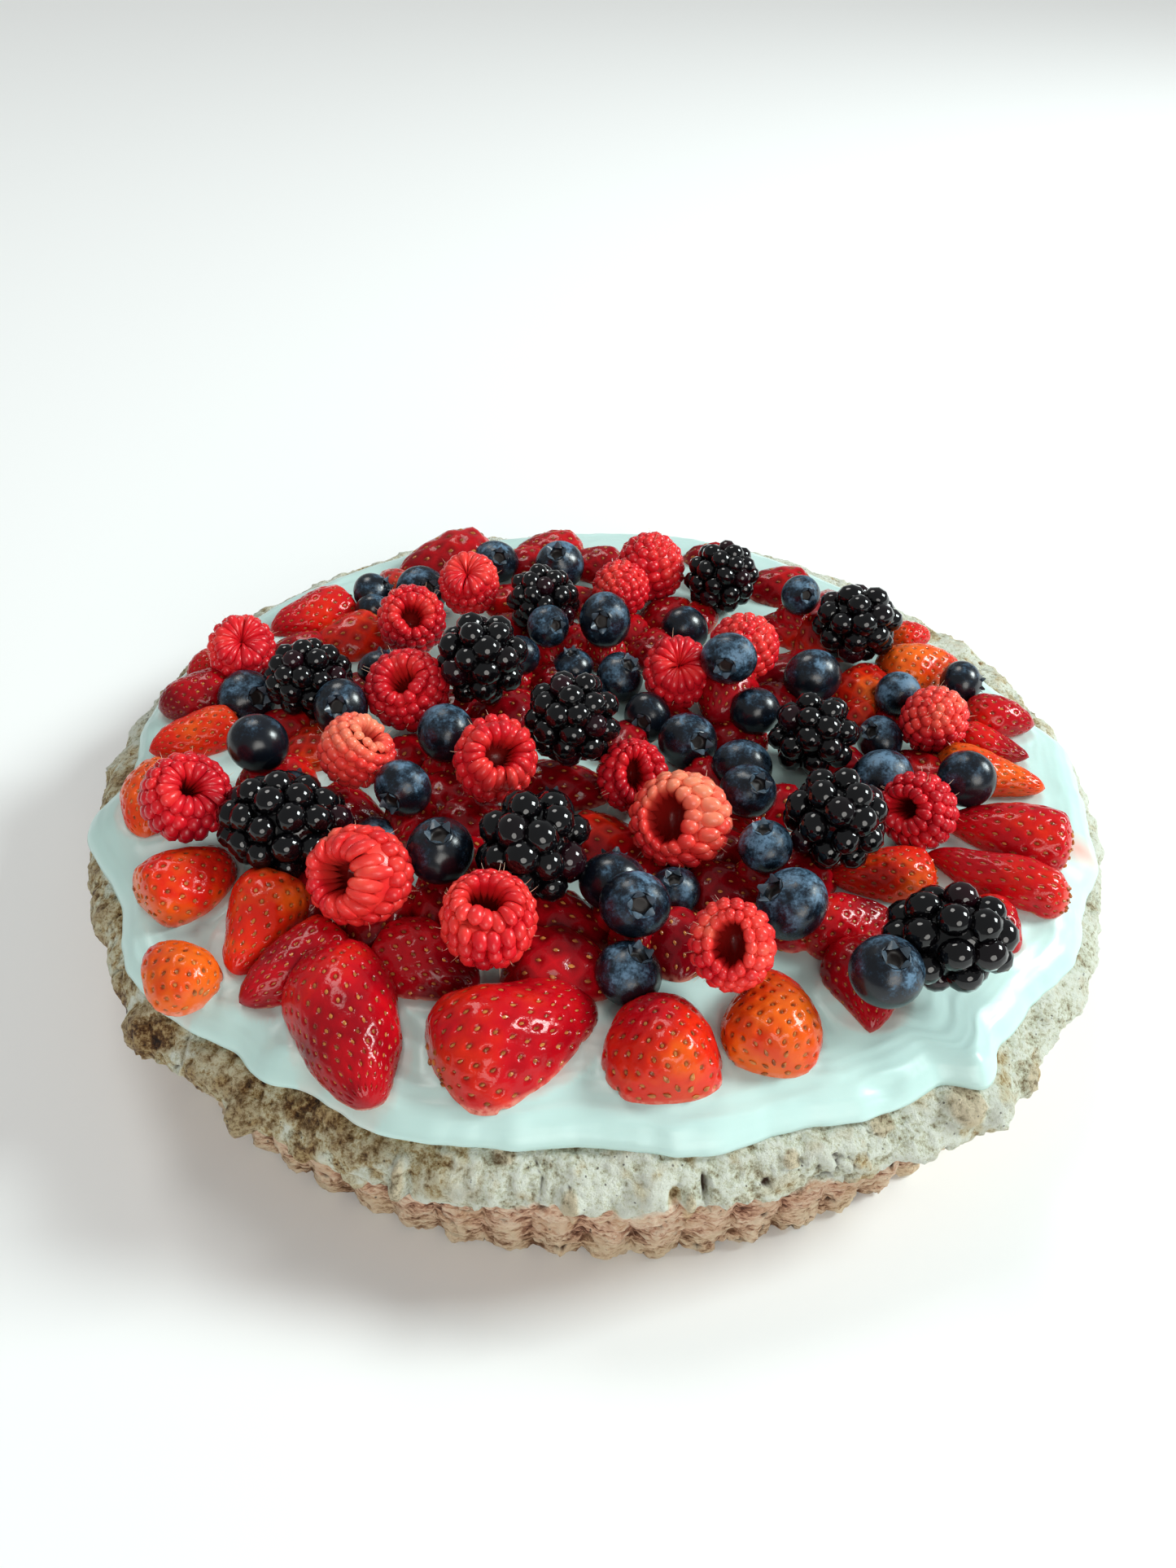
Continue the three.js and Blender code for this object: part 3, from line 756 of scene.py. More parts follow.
# %% [markdown]
# ## Where the single strawberry pieces lie
#
# The fruit is pressed into the cream, so the places of the pieces are given before the cream is made.
# The rows give each piece's place as the CAD model has it, in mm and degrees: across and away from the
# middle, length, width, height over its cut face, and the direction that its tip points in. Then come
# its ripeness, from 0 for orange to 1 for deep wine red, and how much it narrows towards its tip.

# %% Places of the single strawberry pieces
SINGLE_STRAWBERRIES = [
    (-94, 53, 29, 20, 11, -140, 0.55, 0.1), (-117, 4, 21, 18, 12, -157, 0.85, 0.1),
    (-112, -14, 25, 15, 11, -147, 0.2, 0.1), (-115, -40, 26, 20, 11, -83, 0.12, 0.1),
    (-97, -69, 25, 22, 13, 44, 0.35, 0.15), (-77, -84, 28, 22, 13, -99, 0.35, 0.22),
    (-92, -98, 19, 17, 11, 134, 0.15, 0.12), (-66, -96, 28, 17, 12, -130, 0.75, 0.1),
    (-51, -112, 40, 25, 15, -69, 0.7, 0.08), (-37, -93, 26, 22, 12, -25, 0.8, 0.1),
    (-15, -110, 39, 31, 15, 32, 0.6, 0.15), (15, -112, 27, 26, 14, 104, 0.5, 0.05),
    (39, -105, 26, 23, 14, 88, 0.12, 0.08), (60, -75, 24, 18, 11, 17, 0.8, 0.1),
    (61, -94, 23, 21, 11, -94, 0.75, 0.3), (70, -58, 26, 17, 11, 179, 0.4, 0.15),
    (98, -58, 34, 15, 11, 153, 0.6, 0.2), (94, -75, 17, 14, 10, -68, 0.5, 0.1),
    (105, -41, 31, 20, 12, 163, 0.65, 0.15), (106, -18, 29, 16, 11, -19, 0.15, 0.2),
    (110, -5, 20, 11, 9, -29, 0.6, 0.2), (115, 8, 20, 16, 12, -12, 0.65, 0.15),
    (97, 35, 26, 20, 12, 15, 0.15, 0.1), (97, 52, 14, 12, 9, 17, 0.4, 0.1),
    (-119, 21, 14, 12, 8, -121, 0.5, 0.1),
]
# How high the cut faces lie, and how far each piece is sunk into what carries it, in mm
CUT_FACE = 45.75
SUNK = 1.0


def beyond_piece(across, away):
    """How far a place of the cream is from the nearest single strawberry piece's outline, in mm."""
    nearest = 99.0
    for x, y, long, wide, _, turn, _, _ in SINGLE_STRAWBERRIES:
        step_x, step_y = across - x, away - y
        if step_x * step_x + step_y * step_y < 900:
            cosine, sine = math.cos(math.radians(turn)), math.sin(math.radians(turn))
            along = (step_x * cosine + step_y * sine) / (long / 2)
            beside = (step_y * cosine - step_x * sine) / (wide / 2)
            nearest = min(nearest, (math.hypot(along, beside) - 1) * wide / 2)
    return nearest


# %% [markdown]
# ## The whipped cream
#
# The cream was spread with a spatula. It lies as a thick sheet whose wavy edge hangs a little over the
# crust, with soft folds along the edge. A flat profile is turned round the axis, and each point of the
# ring is drawn in or out to the wavy edge, given by radii at named directions.

# %% Sizes of the cream
# Direction in degrees and radius of the edge in mm
CREAM_EDGE = [
    (-172, 131), (-160, 140), (-150, 135), (-139, 140.5), (-131, 139.5), (-124, 136), (-120, 138),
    (-116, 135.5), (-108, 138), (-98, 135), (-90, 132.5), (-79, 135.5), (-72, 133.5), (-62, 137),
    (-57, 136.5), (-53, 142), (-48, 137), (-41, 136), (-34, 138), (-26, 136), (-18, 137), (-8, 135),
    (1, 136), (8, 131), (20, 126), (31, 123), (45, 125), (76, 130.6), (105, 127), (130, 129),
    (155, 131), (177, 133),
]
# The cream's profile near its edge: how far inside the edge, and height in mm
CREAM_LIP = [
    (24, 45.5), (14, 45.5), (9, 45.3), (5.5, 44.6), (3, 43.5), (1.3, 42.0), (0.3, 40.6), (0, 39.6),
    (0.8, 38.8), (3, 38.2),
]
EDGE_RADIUS = 135
CREAM_BELOW = [(118, 36.5), (0, 36.5)]
# The points lie far apart where fruit hides the cream, and close near its edge: the radii where their
# spacing changes, and the spacings, in mm
CREAM_RADII = (20, 80, 104)
CREAM_SPACINGS = (4, 1.3, 0.72)
CREAM_STEPS = 900


def between(table, degrees):
    """The value of a ring of rows (degrees, value) at a direction, with soft changes from row to row."""
    rows = [(table[-1][0] - 360, table[-1][1]), *table, (table[0][0] + 360, table[0][1])]
    for (at1, value1), (at2, value2) in zip(rows, rows[1:]):
        if at1 <= degrees <= at2:
            share = (1 - math.cos(math.pi * (degrees - at1) / (at2 - at1))) / 2
            return value1 + (value2 - value1) * share
    return table[0][1]


# %% Build the cream
lip = [(EDGE_RADIUS - inside, height) for inside, height in CREAM_LIP]
inner, middle, outer = [(radius, CREAM_TOP) for radius in CREAM_RADII]
profile = [(0, CREAM_TOP)] + curve_through([inner, middle], CREAM_SPACINGS[0])
profile += curve_through([middle, outer], CREAM_SPACINGS[1])[1:]
profile += curve_through([outer] + lip, CREAM_SPACINGS[2])[1:] + CREAM_BELOW
cream = turned_from(profile, CREAM_STEPS, "whipped_cream")

# %% Folds and stains of the cream
# Single folds and dents: direction in degrees, how far inside the edge, half length round the ring, half
# width and height in mm
CREAM_MARKS = [
    (-97, 5.0, 17, 1.3, 0.8), (-79, 3.8, 24, 1.1, 0.7), (-84, 9.0, 18, 1.4, 0.35),
    (-68, 8.5, 16, 1.2, 0.45), (-58, 12.0, 12, 1.2, 0.5), (-52, 7.0, 9, 1.2, 0.6),
    (-62, 3.4, 3.5, 1.8, -1.3), (-62, 6.4, 5, 1.0, 0.7), (-53, 4.0, 2.4, 2.4, 1.3),
    (-50, 15.0, 12, 1.5, -0.4), (-127, 6.0, 9, 2.0, 1.2), (-124, 10.5, 7, 1.8, -0.9),
    (-119, 5.0, 5, 3.0, 1.6), (-121.5, 3.0, 3, 4.0, -1.2), (-112, 4.0, 9, 1.4, 0.8),
    (-133, 9.0, 8, 2.0, 0.6), (-106, 9.0, 6, 1.3, 0.5), (-30, 6.0, 14, 1.5, 0.6),
    (-36, 13.0, 10, 1.3, 0.4), (-12, 7.0, 12, 1.6, 0.5), (-160, 7.0, 12, 1.8, 0.7),
    (172, 6.0, 12, 1.6, 0.6), (140, 7.0, 14, 1.6, 0.7), (95, 6.0, 14, 1.6, 0.6),
    (60, 8.0, 12, 1.5, 0.7), (25, 6.0, 12, 1.5, 0.6), (-66, 14.0, 14, 1.0, 0.25),
    (-58, 17.5, 10, 1.0, 0.2), (-55, 9.5, 7, 1.0, 0.4), (-90, 13.0, 12, 1.1, 0.3),
    (-101, 12.0, 8, 1.2, 0.4),
]
# Where juice has run: across, away and reach in mm
JUICE = [(124.3, -41.4, 7.0), (-104, -63, 3.5), (84, -86, 3.5), (1, -99, 4.0)]
JUICE_SHARE = 0.9
# How high the cream rises against a piece that is pressed into it, and over what distance, in mm
HUG = 0.9
HUG_REACH = 1.3
# The ring is drawn out to the wavy edge between these radii
EDGE_MOVES = (92, 122)
LIP_HEIGHT = 40
UNDER_LIP = 0.4


def waves(place):
    """A noise without creases, for the smooth cream."""
    return noise.noise(place, noise_basis="PERLIN_NEW")


def cream_folds(place, around, inside):
    """Soft waves and strokes of the spatula, in mm, stronger towards the edge."""
    shift = 0.25 * noise.noise_vector(place / (22 * MM), noise_basis="PERLIN_NEW")
    stroke = Vector((around * 2.3 / 40, inside / 6.0, 0.0)) + shift
    crest = max(0.0, 1 - 5 * abs(waves(stroke))) ** 1.5
    along = waves(stroke * 0.7 + Vector((5, 5, 0)))
    soft = waves(place / (34 * MM)) + 0.3 * waves(place / (13 * MM))
    near_edge = between_limits(36 - inside, 0, 18)
    up = 0.5 * soft + (0.25 * along + 0.16 * crest) * near_edge
    for direction, mark_inside, half_long, half_wide, height in CREAM_MARKS:
        across = math.radians(degrees_apart(around, direction)) * EDGE_RADIUS / half_long
        if abs(across) < 2:
            beside = (inside - mark_inside + 2.0 * waves(place / (15 * MM))) / half_wide
            up += 0.8 * height * math.exp(-across ** 2 - beside ** 2)
    return up


def stain_at(place, beyond):
    """Pink where juice has soaked into the cream."""
    patchy = 0.6 + 0.8 * lumps(place, 4)
    stain = 0.3 * patchy * between_limits(0.6 - beyond, 0, 0.6)
    for across, away, reach in JUICE:
        apart = math.hypot(place.x / MM - across, place.y / MM - away)
        uneven = 0.3 * lumps(place, 6) * (apart < reach)
        stain = max(stain, JUICE_SHARE * between_limits(1 - apart / reach, 0, 1) + uneven)
    return stain


def ripple_at(around):
    small = 0.45 * noise.noise(Vector((around / 2.2, 0, 0)))
    return small + 0.9 * noise.noise(Vector((around / 5.5, 3, 0)))


def shape_cream(piece):
    """Draws the ring out to the wavy edge, folds it, and stores where it is stained."""
    stains = []
    for point in piece.data.vertices:
        place = point.co
        radius = place.xy.length / MM
        if radius < 1 or place.z < 37 * MM:
            stains.append(0.0)
            continue
        around = math.degrees(math.atan2(place.y, place.x))
        inside = EDGE_RADIUS - radius
        fade = between_limits(radius, *EDGE_MOVES)
        edge = between(CREAM_EDGE, around) + ripple_at(around)
        share = 1 + (edge - EDGE_RADIUS) * fade / radius
        moved = Vector((place.x * share, place.y * share, place.z))
        beyond = beyond_piece(moved.x / MM, moved.y / MM)
        hug = HUG * math.exp(-max(0.0, beyond) / HUG_REACH) if inside > 4 else 0.0
        up = (cream_folds(place, around, inside) + hug) * (1 if place.z > LIP_HEIGHT * MM else UNDER_LIP)
        point.co = moved + Vector((0, 0, up * MM))
        stains.append(stain_at(moved, beyond))
    store(piece, "stain", stains)


shape_cream(cream)
pick(cream)
bpy.ops.object.shade_smooth()
print("cream box mm:", [round(v / MM, 1) for v in cream.dimensions])

# %% [markdown]
# ## The cream's finish
#
# Whipped cream is soft and a little wet. Light goes into it and comes out again, so it gets some
# subsurface scattering and a low roughness. Where fruit lies on it or juice has run, it is stained
# pink. The stain was stored on the points while the cream was shaped.

# %% Cream material
CREAM_COLOURS = [(0.3, (0.53, 0.74, 0.70)), (0.7, (0.60, 0.81, 0.775))]
JUICE_COLOUR = (0.86, 0.30, 0.22)


def cream_material():
    material, tree, shader = start_material("whipped_cream")
    place = place_in(tree)
    colour = ramp(tree, cloudy(tree, place, 30.0, 2.0), CREAM_COLOURS)
    soaked = combine(tree, "MULTIPLY", value_of(tree, "stain"), 0.75)
    colour = blend(tree, soaked, colour, JUICE_COLOUR)
    tree.links.new(colour, shader.inputs["Base Color"])
    shader.inputs["Roughness"].default_value = 0.34
    shader.inputs["Subsurface Weight"].default_value = 0.2
    shader.inputs["Subsurface Radius"].default_value = (1.0, 0.9, 0.8)
    shader.inputs["Subsurface Scale"].default_value = 2 * MM
    fine = combine(tree, "MULTIPLY", cloudy(tree, place, 420.0), 0.2)
    bump(tree, shader, combine(tree, "ADD", cloudy(tree, place, 60.0, 3.0), fine), 0.5 * MM, 0.4)
    return material


cream.data.materials.append(cream_material())
finished(cream, "cream")

# %% [markdown]
# ## Strawberries
#
# Each piece is half of a berry that was cut lengthwise and laid on its cut face. A strawberry's seeds
# sit in dimples in staggered rows. The sphere's cells are poked and their old edges dissolved, which
# leaves staggered diamonds, and each diamond is inset and pressed in to make a dimple. A whole berry
# is modelled in a few sizes with its seeds, and each piece is a copy that is turned, sized and cut.

# %% Strawberry shape
# Shares of the half width and half length, from the stalk's end to the tip
STRAWBERRY_PROFILE = [
    (0, -1), (0.40, -0.98), (0.68, -0.91), (0.87, -0.76), (0.97, -0.53), (1, -0.28), (0.96, -0.02),
    (0.88, 0.24), (0.75, 0.49), (0.57, 0.71), (0.37, 0.87), (0.17, 0.965), (0, 1),
]
# Dimples are left out where the cells crowd together near the poles
LEAST_FROM_AXIS = 0.3
CROWDED = 0.48
# Sizes of a seed, and how far its middle stands over the dimple's bottom, in mm
SEED_LONG = 1.45
SEED_WIDE = 0.9
SEED_THICK = 0.7
SEED_LIFT = 0.08


def even_stations(profile, long, wide, count):
    """Points at even distances along a profile that is given in shares of the half sizes."""
    points = [(radius * wide / 2 * MM, height * long / 2 * MM) for radius, height in profile]
    steps = [math.dist(a, b) for a, b in zip(points, points[1:])]
    whole = sum(steps)
    stations = []
    for index in range(count + 1):
        left = whole * index / count
        for (a, b), step in zip(zip(points, points[1:]), steps):
            if left <= step + 1e-12:
                share = left / step
                break
            left -= step
        stations.append(tuple(p + (q - p) * share for p, q in zip(a, b)))
    return stations


def select_numbers(piece, numbers):
    """Selects points by their numbers."""
    mesh = bmesh.from_edit_mesh(piece.data)
    bpy.ops.mesh.select_mode(type="VERT")
    mesh.verts.ensure_lookup_table()
    for number in numbers:
        mesh.verts[number].select = True
    mesh.select_flush_mode()
    bmesh.update_edit_mesh(piece.data)


def ringed(name, around, rows, stations):
    """A sphere whose rings are moved to the stations of a profile, from the lowest up."""
    bpy.ops.object.select_all(action="DESELECT")
    bpy.ops.mesh.primitive_uv_sphere_add(segments=around, ring_count=rows, radius=1.0)
    piece = fresh(name)
    rings = {}
    for point in piece.data.vertices:
        rings.setdefault(round(point.co.z, 3), []).append(point.index)
    edit(piece)
    for old_height, (radius, height) in zip(sorted(rings), stations):
        bpy.ops.mesh.select_all(action="DESELECT")
        select_numbers(piece, rings[old_height])
        share = radius / math.sqrt(max(1e-9, 1 - old_height ** 2)) if abs(old_height) < 0.999 else 1
        bpy.ops.transform.resize(value=(share, share, 1), center_override=(0, 0, old_height))
        bpy.ops.transform.translate(value=(0, 0, height - old_height))
    done()
    return piece


def to_diamonds(piece):
    """Turns a piece's square cells into staggered diamonds."""
    corners = len(piece.data.vertices)
    edit(piece)
    bpy.ops.mesh.select_all(action="SELECT")
    bpy.ops.mesh.poke()
    bpy.ops.mesh.select_all(action="DESELECT")
    bpy.ops.mesh.select_mode(type="EDGE")
    mesh = bmesh.from_edit_mesh(piece.data)
    for side in mesh.edges:
        side.select = all(point.index < corners for point in side.verts)
    bmesh.update_edit_mesh(piece.data)
    bpy.ops.mesh.dissolve_edges(use_verts=False)
    done()


def press_dimples(piece, insets, half_wide, blunt_from, around):
    """Presses a dimple in each cell, and returns where the seeds go.

    The insets are shares of the cells' edges and depths in mm. The cells of the blunt end crowd together,
    so every second one there gets a seed, and none a dimple.
    """
    edit(piece)
    mesh = bmesh.from_edit_mesh(piece.data)
    crowded = []
    for face in mesh.faces:
        middle = face.calc_center_median()
        turn = round(math.atan2(middle.y, middle.x) / math.pi * around) % 4
        share = middle.xy.length / half_wide
        if middle.z < blunt_from and LEAST_FROM_AXIS / 2 < share < CROWDED and turn < 2:
            crowded.append((middle.copy(), face.normal.copy()))
    select_faces(piece, lambda face: face.calc_center_median().xy.length
                 > half_wide * (LEAST_FROM_AXIS if face.calc_center_median().z > blunt_from else CROWDED))
    for share, depth in insets:
        bpy.ops.mesh.inset(thickness=share, depth=0, use_individual=True, use_relative_offset=True)
        bpy.ops.transform.shrink_fatten(value=-depth * MM)
    mesh = bmesh.from_edit_mesh(piece.data)
    bottoms = [(face.calc_center_median().copy(), face.normal.copy())
               for face in mesh.faces if face.select]
    pressed = [float(point.select) for point in mesh.verts]
    done()
    store(piece, "dimple", pressed)
    return bottoms + crowded


def standing_on(place, normal, along, sizes):
    """A placing for a small shape: Z axis along the surface, X axis outward, sizes as (X, Y, Z)."""
    across = normal.cross(along).normalized()
    forward = across.cross(normal).normalized()
    turn = Matrix((normal, across, forward)).transposed().to_4x4()
    return Matrix.Translation(place) @ turn @ Matrix.Diagonal((*sizes, 1))


def stamped(master, places, name):
    """A copy of a small shape at each place, all joined to one piece."""
    copies = [copy_of(master, name) for _ in places]
    for one, place in zip(copies, places):
        one.matrix_world = place
    bpy.context.view_layer.update()
    piece = join(copies, name)
    apply_place(piece)
    return piece


# %% Seed and whole strawberries


def seed_shape():
    """A small ball that narrows to one end."""
    bpy.ops.object.select_all(action="DESELECT")
    bpy.ops.mesh.primitive_uv_sphere_add(segments=5, ring_count=4, radius=0.5 * MM)
    seed = fresh("seed")
    edit(seed)
    select_points(seed, lambda p: p.z > 0.2 * MM)
    bpy.ops.transform.resize(value=(0.6, 0.6, 1), center_override=(0, 0, 0))
    done()
    store(seed, "seed", [1.0] * len(seed.data.vertices))
    return seed


SEED = seed_shape()
SEED_POINTS = len(SEED.data.vertices)


def whole_strawberry(name, around, rows, long, wide, insets, level):
    berry = ringed(name, around, rows, even_stations(STRAWBERRY_PROFILE, long, wide, rows))
    to_diamonds(berry)
    bottoms = press_dimples(berry, insets, wide / 2 * MM, -0.44 * long * MM, around)
    apply_modifier(berry, "SUBSURF", levels=level, render_levels=level)
    store(berry, "seed", [0.0] * len(berry.data.vertices))
    store(berry, "along", [p.co.z / (long * MM / 2) for p in berry.data.vertices])
    sizes = (SEED_THICK, SEED_WIDE, SEED_LONG)
    axis = Vector((0, 0, 1))
    places = [standing_on(place + normal * SEED_LIFT * MM, normal, axis, sizes)
              for place, normal in bottoms]
    flesh_points = len(berry.data.vertices)
    seeds = stamped(SEED, places, name + "_seeds")
    whole = join([berry, seeds], name)
    pick(whole)
    bpy.ops.transform.rotate(value=math.radians(-90), orient_axis="Y", center_override=(0, 0, 0))
    apply_place(whole)
    whole["flesh_points"] = flesh_points
    whole["long"] = long
    whole["wide"] = wide
    print(name, "points", flesh_points, "seeds", len(places))
    return whole


# Each inset: its share of the cell's edges, and how deep it is pressed, in mm
FINE_INSETS = [(0.22, 0.0), (0.3, 0.55)]
PLAIN_INSETS = [(0.33, 0.5)]
SHOWN_BERRIES = [
    whole_strawberry("long_berry", 17, 11, 40, 25, FINE_INSETS, 1),
    whole_strawberry("broad_berry", 19, 9, 34, 29, FINE_INSETS, 1),
    whole_strawberry("middle_berry", 14, 8, 26, 20, FINE_INSETS, 1),
    whole_strawberry("small_berry", 11, 6, 18, 14, FINE_INSETS, 1),
]
HEAP_BERRIES = [
    whole_strawberry("heap_berry", 11, 6, 27, 23, PLAIN_INSETS, 1),
    whole_strawberry("small_heap_berry", 9, 4, 18, 15, PLAIN_INSETS, 1),
]

# %% [markdown]
# ## Cutting the strawberries
#
# The whole berry that is nearest in size is copied and spun, so that no two pieces show the same
# seeds. Noise bends it out of true, and bisect cuts it level and fills the cut face. Seeds near the cut
# or below it are deleted first, and the cut goes through the flesh alone, because a cut through a
# shape as small as a seed leaves slivers.

# %% Cut strawberries
STRETCH = 1.03
# Size of the lumps that bend a piece, and how far they move it sideways, against 1 mm along and up
BEND_SIZE = 12
BEND_SIDEWAYS = 1.5
LOWEST_SEED = 0.4
# The pale band along the cut face reaches this high, in mm
BAND_HIGH = 1.5


def nearest_size(masters, long, wide):
    return min(masters, key=lambda m: abs(math.log(long / m["long"])) + abs(math.log(wide / m["wide"])))


def select_flesh(piece):
    """Selects all but the seeds."""
    mesh = bmesh.from_edit_mesh(piece.data)
    bpy.ops.mesh.select_mode(type="VERT")
    is_seed = mesh.verts.layers.float["seed"]
    for point in mesh.verts:
        point.select = point[is_seed] < 0.5
    mesh.select_flush_mode()
    bmesh.update_edit_mesh(piece.data)


def cut_strawberry(row, foot, masters, name, draw):
    """A half berry: a whole one sized, bent out of true by noise, cut level and laid in its place."""
    across, away, long, wide, high, turn, ripe, taper = row
    master = nearest_size(masters, long, wide)
    piece = copy_of(master, name)
    wider = wide / master["wide"]
    sizes = Matrix.Diagonal((STRETCH * long / master["long"], wider, wider, 1))
    spin = Matrix.Rotation(draw.uniform(0, 2 * math.pi), 4, "X")
    piece.data.transform(sizes @ spin)
    points = piece.data.vertices
    offset = Vector((draw.uniform(-1, 1), draw.uniform(-1, 1), draw.uniform(-1, 1))) * 10
    for point in points:
        lump = noise.noise_vector(point.co / (BEND_SIZE * MM) + offset)
        narrow = 1 - taper * (point.co.x / (long * MM / 2) + 0.6)
        lifted = point.co.z * narrow + (high - wide / 2) * MM
        point.co = Vector((point.co.x, point.co.y * narrow, lifted))
        point.co += Vector((lump.x, lump.y * BEND_SIDEWAYS, lump.z)) * MM
    gone = set()
    for first in range(master["flesh_points"], len(points), SEED_POINTS):
        group = range(first, first + SEED_POINTS)
        if sum(points[i].co.z for i in group) / SEED_POINTS < LOWEST_SEED * MM:
            gone.update(group)
    edit(piece)
    select_numbers(piece, gone)
    bpy.ops.mesh.delete(type="VERT")
    select_flesh(piece)
    bpy.ops.mesh.bisect(plane_co=(0, 0, -SUNK * MM), plane_no=(0, 0, 1), use_fill=True, clear_inner=True)
    done()
    store(piece, "ripe", [ripe] * len(piece.data.vertices))
    store(piece, "low", [between_limits(BAND_HIGH - p.co.z / MM, 0, 1.0) for p in piece.data.vertices])
    turned = Matrix.Rotation(math.radians(turn), 4, "Z")
    piece.data.transform(Matrix.Translation((across * MM, away * MM, foot * MM)) @ turned)
    return piece


# %% [markdown]
# ## The strawberries' finish
#
# The skin is thin, glossy and bumpy. It runs from orange where a berry was less ripe to a deep wine
# red, and is paler at the stalk's end. The dimples are painted darker, a painted shade. A narrow pale
# band along the cut face shows the flesh. A ripeness is stored on each piece, and one ramp over it
# gives all the reds.

# %% Strawberry material
# From less ripe to ripe
STRAWBERRY_REDS = [
    (0.0, (0.82, 0.13, 0.010)), (0.3, (0.70, 0.022, 0.006)), (0.6, (0.54, 0.004, 0.010)),
    (1.0, (0.20, 0.001, 0.006)),
]
SEED_COLOURS = [(0.35, (0.22, 0.050, 0.012)), (0.65, (0.60, 0.22, 0.055))]
STALK_END_COLOUR = (0.80, 0.16, 0.06)
DIMPLE_SHADE = (0.14, 0.002, 0.003)
BAND_COLOUR = (0.86, 0.34, 0.25)


def strawberry_material():
    material, tree, shader = start_material("strawberry_flesh")
    place = place_in(tree)
    patches = cloudy(tree, place, 70.0, 3.0)
    spread = combine(tree, "MULTIPLY", combine(tree, "SUBTRACT", patches, 0.5), 1.3)
    towards_tip = combine(tree, "MULTIPLY", value_of(tree, "along"), 0.12)
    ripe = combine(tree, "ADD", combine(tree, "ADD", value_of(tree, "ripe"), spread), towards_tip)
    flesh = ramp(tree, ripe, STRAWBERRY_REDS)
    pale_end = stepped(tree, value_of(tree, "along"), -1.02, -0.85, 0.22, 0.0)
    flesh = blend(tree, pale_end, flesh, STALK_END_COLOUR)
    # Painted shade: the dimples are darkened
    flesh = blend(tree, combine(tree, "MULTIPLY", value_of(tree, "dimple"), 0.6), flesh, DIMPLE_SHADE)
    ragged = stepped(tree, cloudy(tree, place, 500.0), 0.4, 0.6, 0.2, 0.75)
    flesh = blend(tree, combine(tree, "MULTIPLY", value_of(tree, "low"), ragged), flesh, BAND_COLOUR)
    seed = ramp(tree, cloudy(tree, place, 400.0, 1.0), SEED_COLOURS)
    colour = blend(tree, value_of(tree, "seed"), flesh, seed)
    tree.links.new(colour, shader.inputs["Base Color"])
    shader.inputs["Roughness"].default_value = 0.16
    shader.inputs["Specular IOR Level"].default_value = 0.28
    shader.inputs["Subsurface Weight"].default_value = 0.08
    shader.inputs["Subsurface Radius"].default_value = (1.0, 0.2, 0.1)
    shader.inputs["Subsurface Scale"].default_value = 1.5 * MM
    bump(tree, shader, cloudy(tree, place, 600.0, 3.0), 0.3 * MM, 0.5)
    return material


STRAWBERRY = strawberry_material()

# %% Lay the single strawberry pieces
SHARP_EDGE = math.radians(50)


def dress(piece, material, slot_name, *nodes):
    """Gives a piece its material, smooth shading, its ride and CAD nodes; slot_name is not used."""
    piece.data.materials.clear()
    piece.data.materials.append(material)
    if piece.data.validate():
        print(piece.name, "had faces that no surface needs, and they are gone")
    pick(piece)
    bpy.ops.object.shade_smooth_by_angle(angle=SHARP_EDGE)
    finished(piece, *nodes)


draw = random.Random(5)
for number, row in enumerate(SINGLE_STRAWBERRIES, 1):
    piece = cut_strawberry(row, CUT_FACE, SHOWN_BERRIES, f"cut_strawberry_{number:02d}", draw)
    dress(piece, STRAWBERRY, "strawberry", f"strawberry_{number:02d}")
print("single strawberry pieces:", len(SINGLE_STRAWBERRIES))

# %% [markdown]
# ## Whole fruit
#
# Raspberries, brambles and blueberries lie whole on the pieces and on each other, each facing its own
# way. Their sizes and the ways that they face are those of the CAD model. A fruit that is a node of its
# own reads its place from the node. The blueberries of the heap are no nodes of their own, so their
# rows give their places too.

# %% Sizes and facing of the whole fruit
# Size in mm, then the direction and the rise in degrees of the way that the hole, tip or crown faces
RASPBERRIES = [
    (20, -97, 68), (22, -74, 43), (23, -107, 58), (20, -60, 60), (23, -45, 47), (19.5, 11, 49),
    (22, -70, 46), (19, -86, 38), (24, -111, 42), (23, -109, 41), (21, -72, 68), (19, -109, 44),
    (21, -85, 58), (20, 90, -70), (18.5, 80, -20), (23, 90, -75), (20, 70, -50), (19.5, -134, 30),
]
BRAMBLES = [
    (23, -60, 50), (23, -110, 40), (24, -70, 45), (23, -120, 35), (25.5, -80, 40), (25, 175, 6),
    (26, -100, 30), (22.5, -75, 45), (23, -60, 35), (24, -90, 30), (23, -20, 25),
]
LONE_BLUEBERRIES = [(13, -6, 4), (16, -80, 72), (15, 60, -10)]
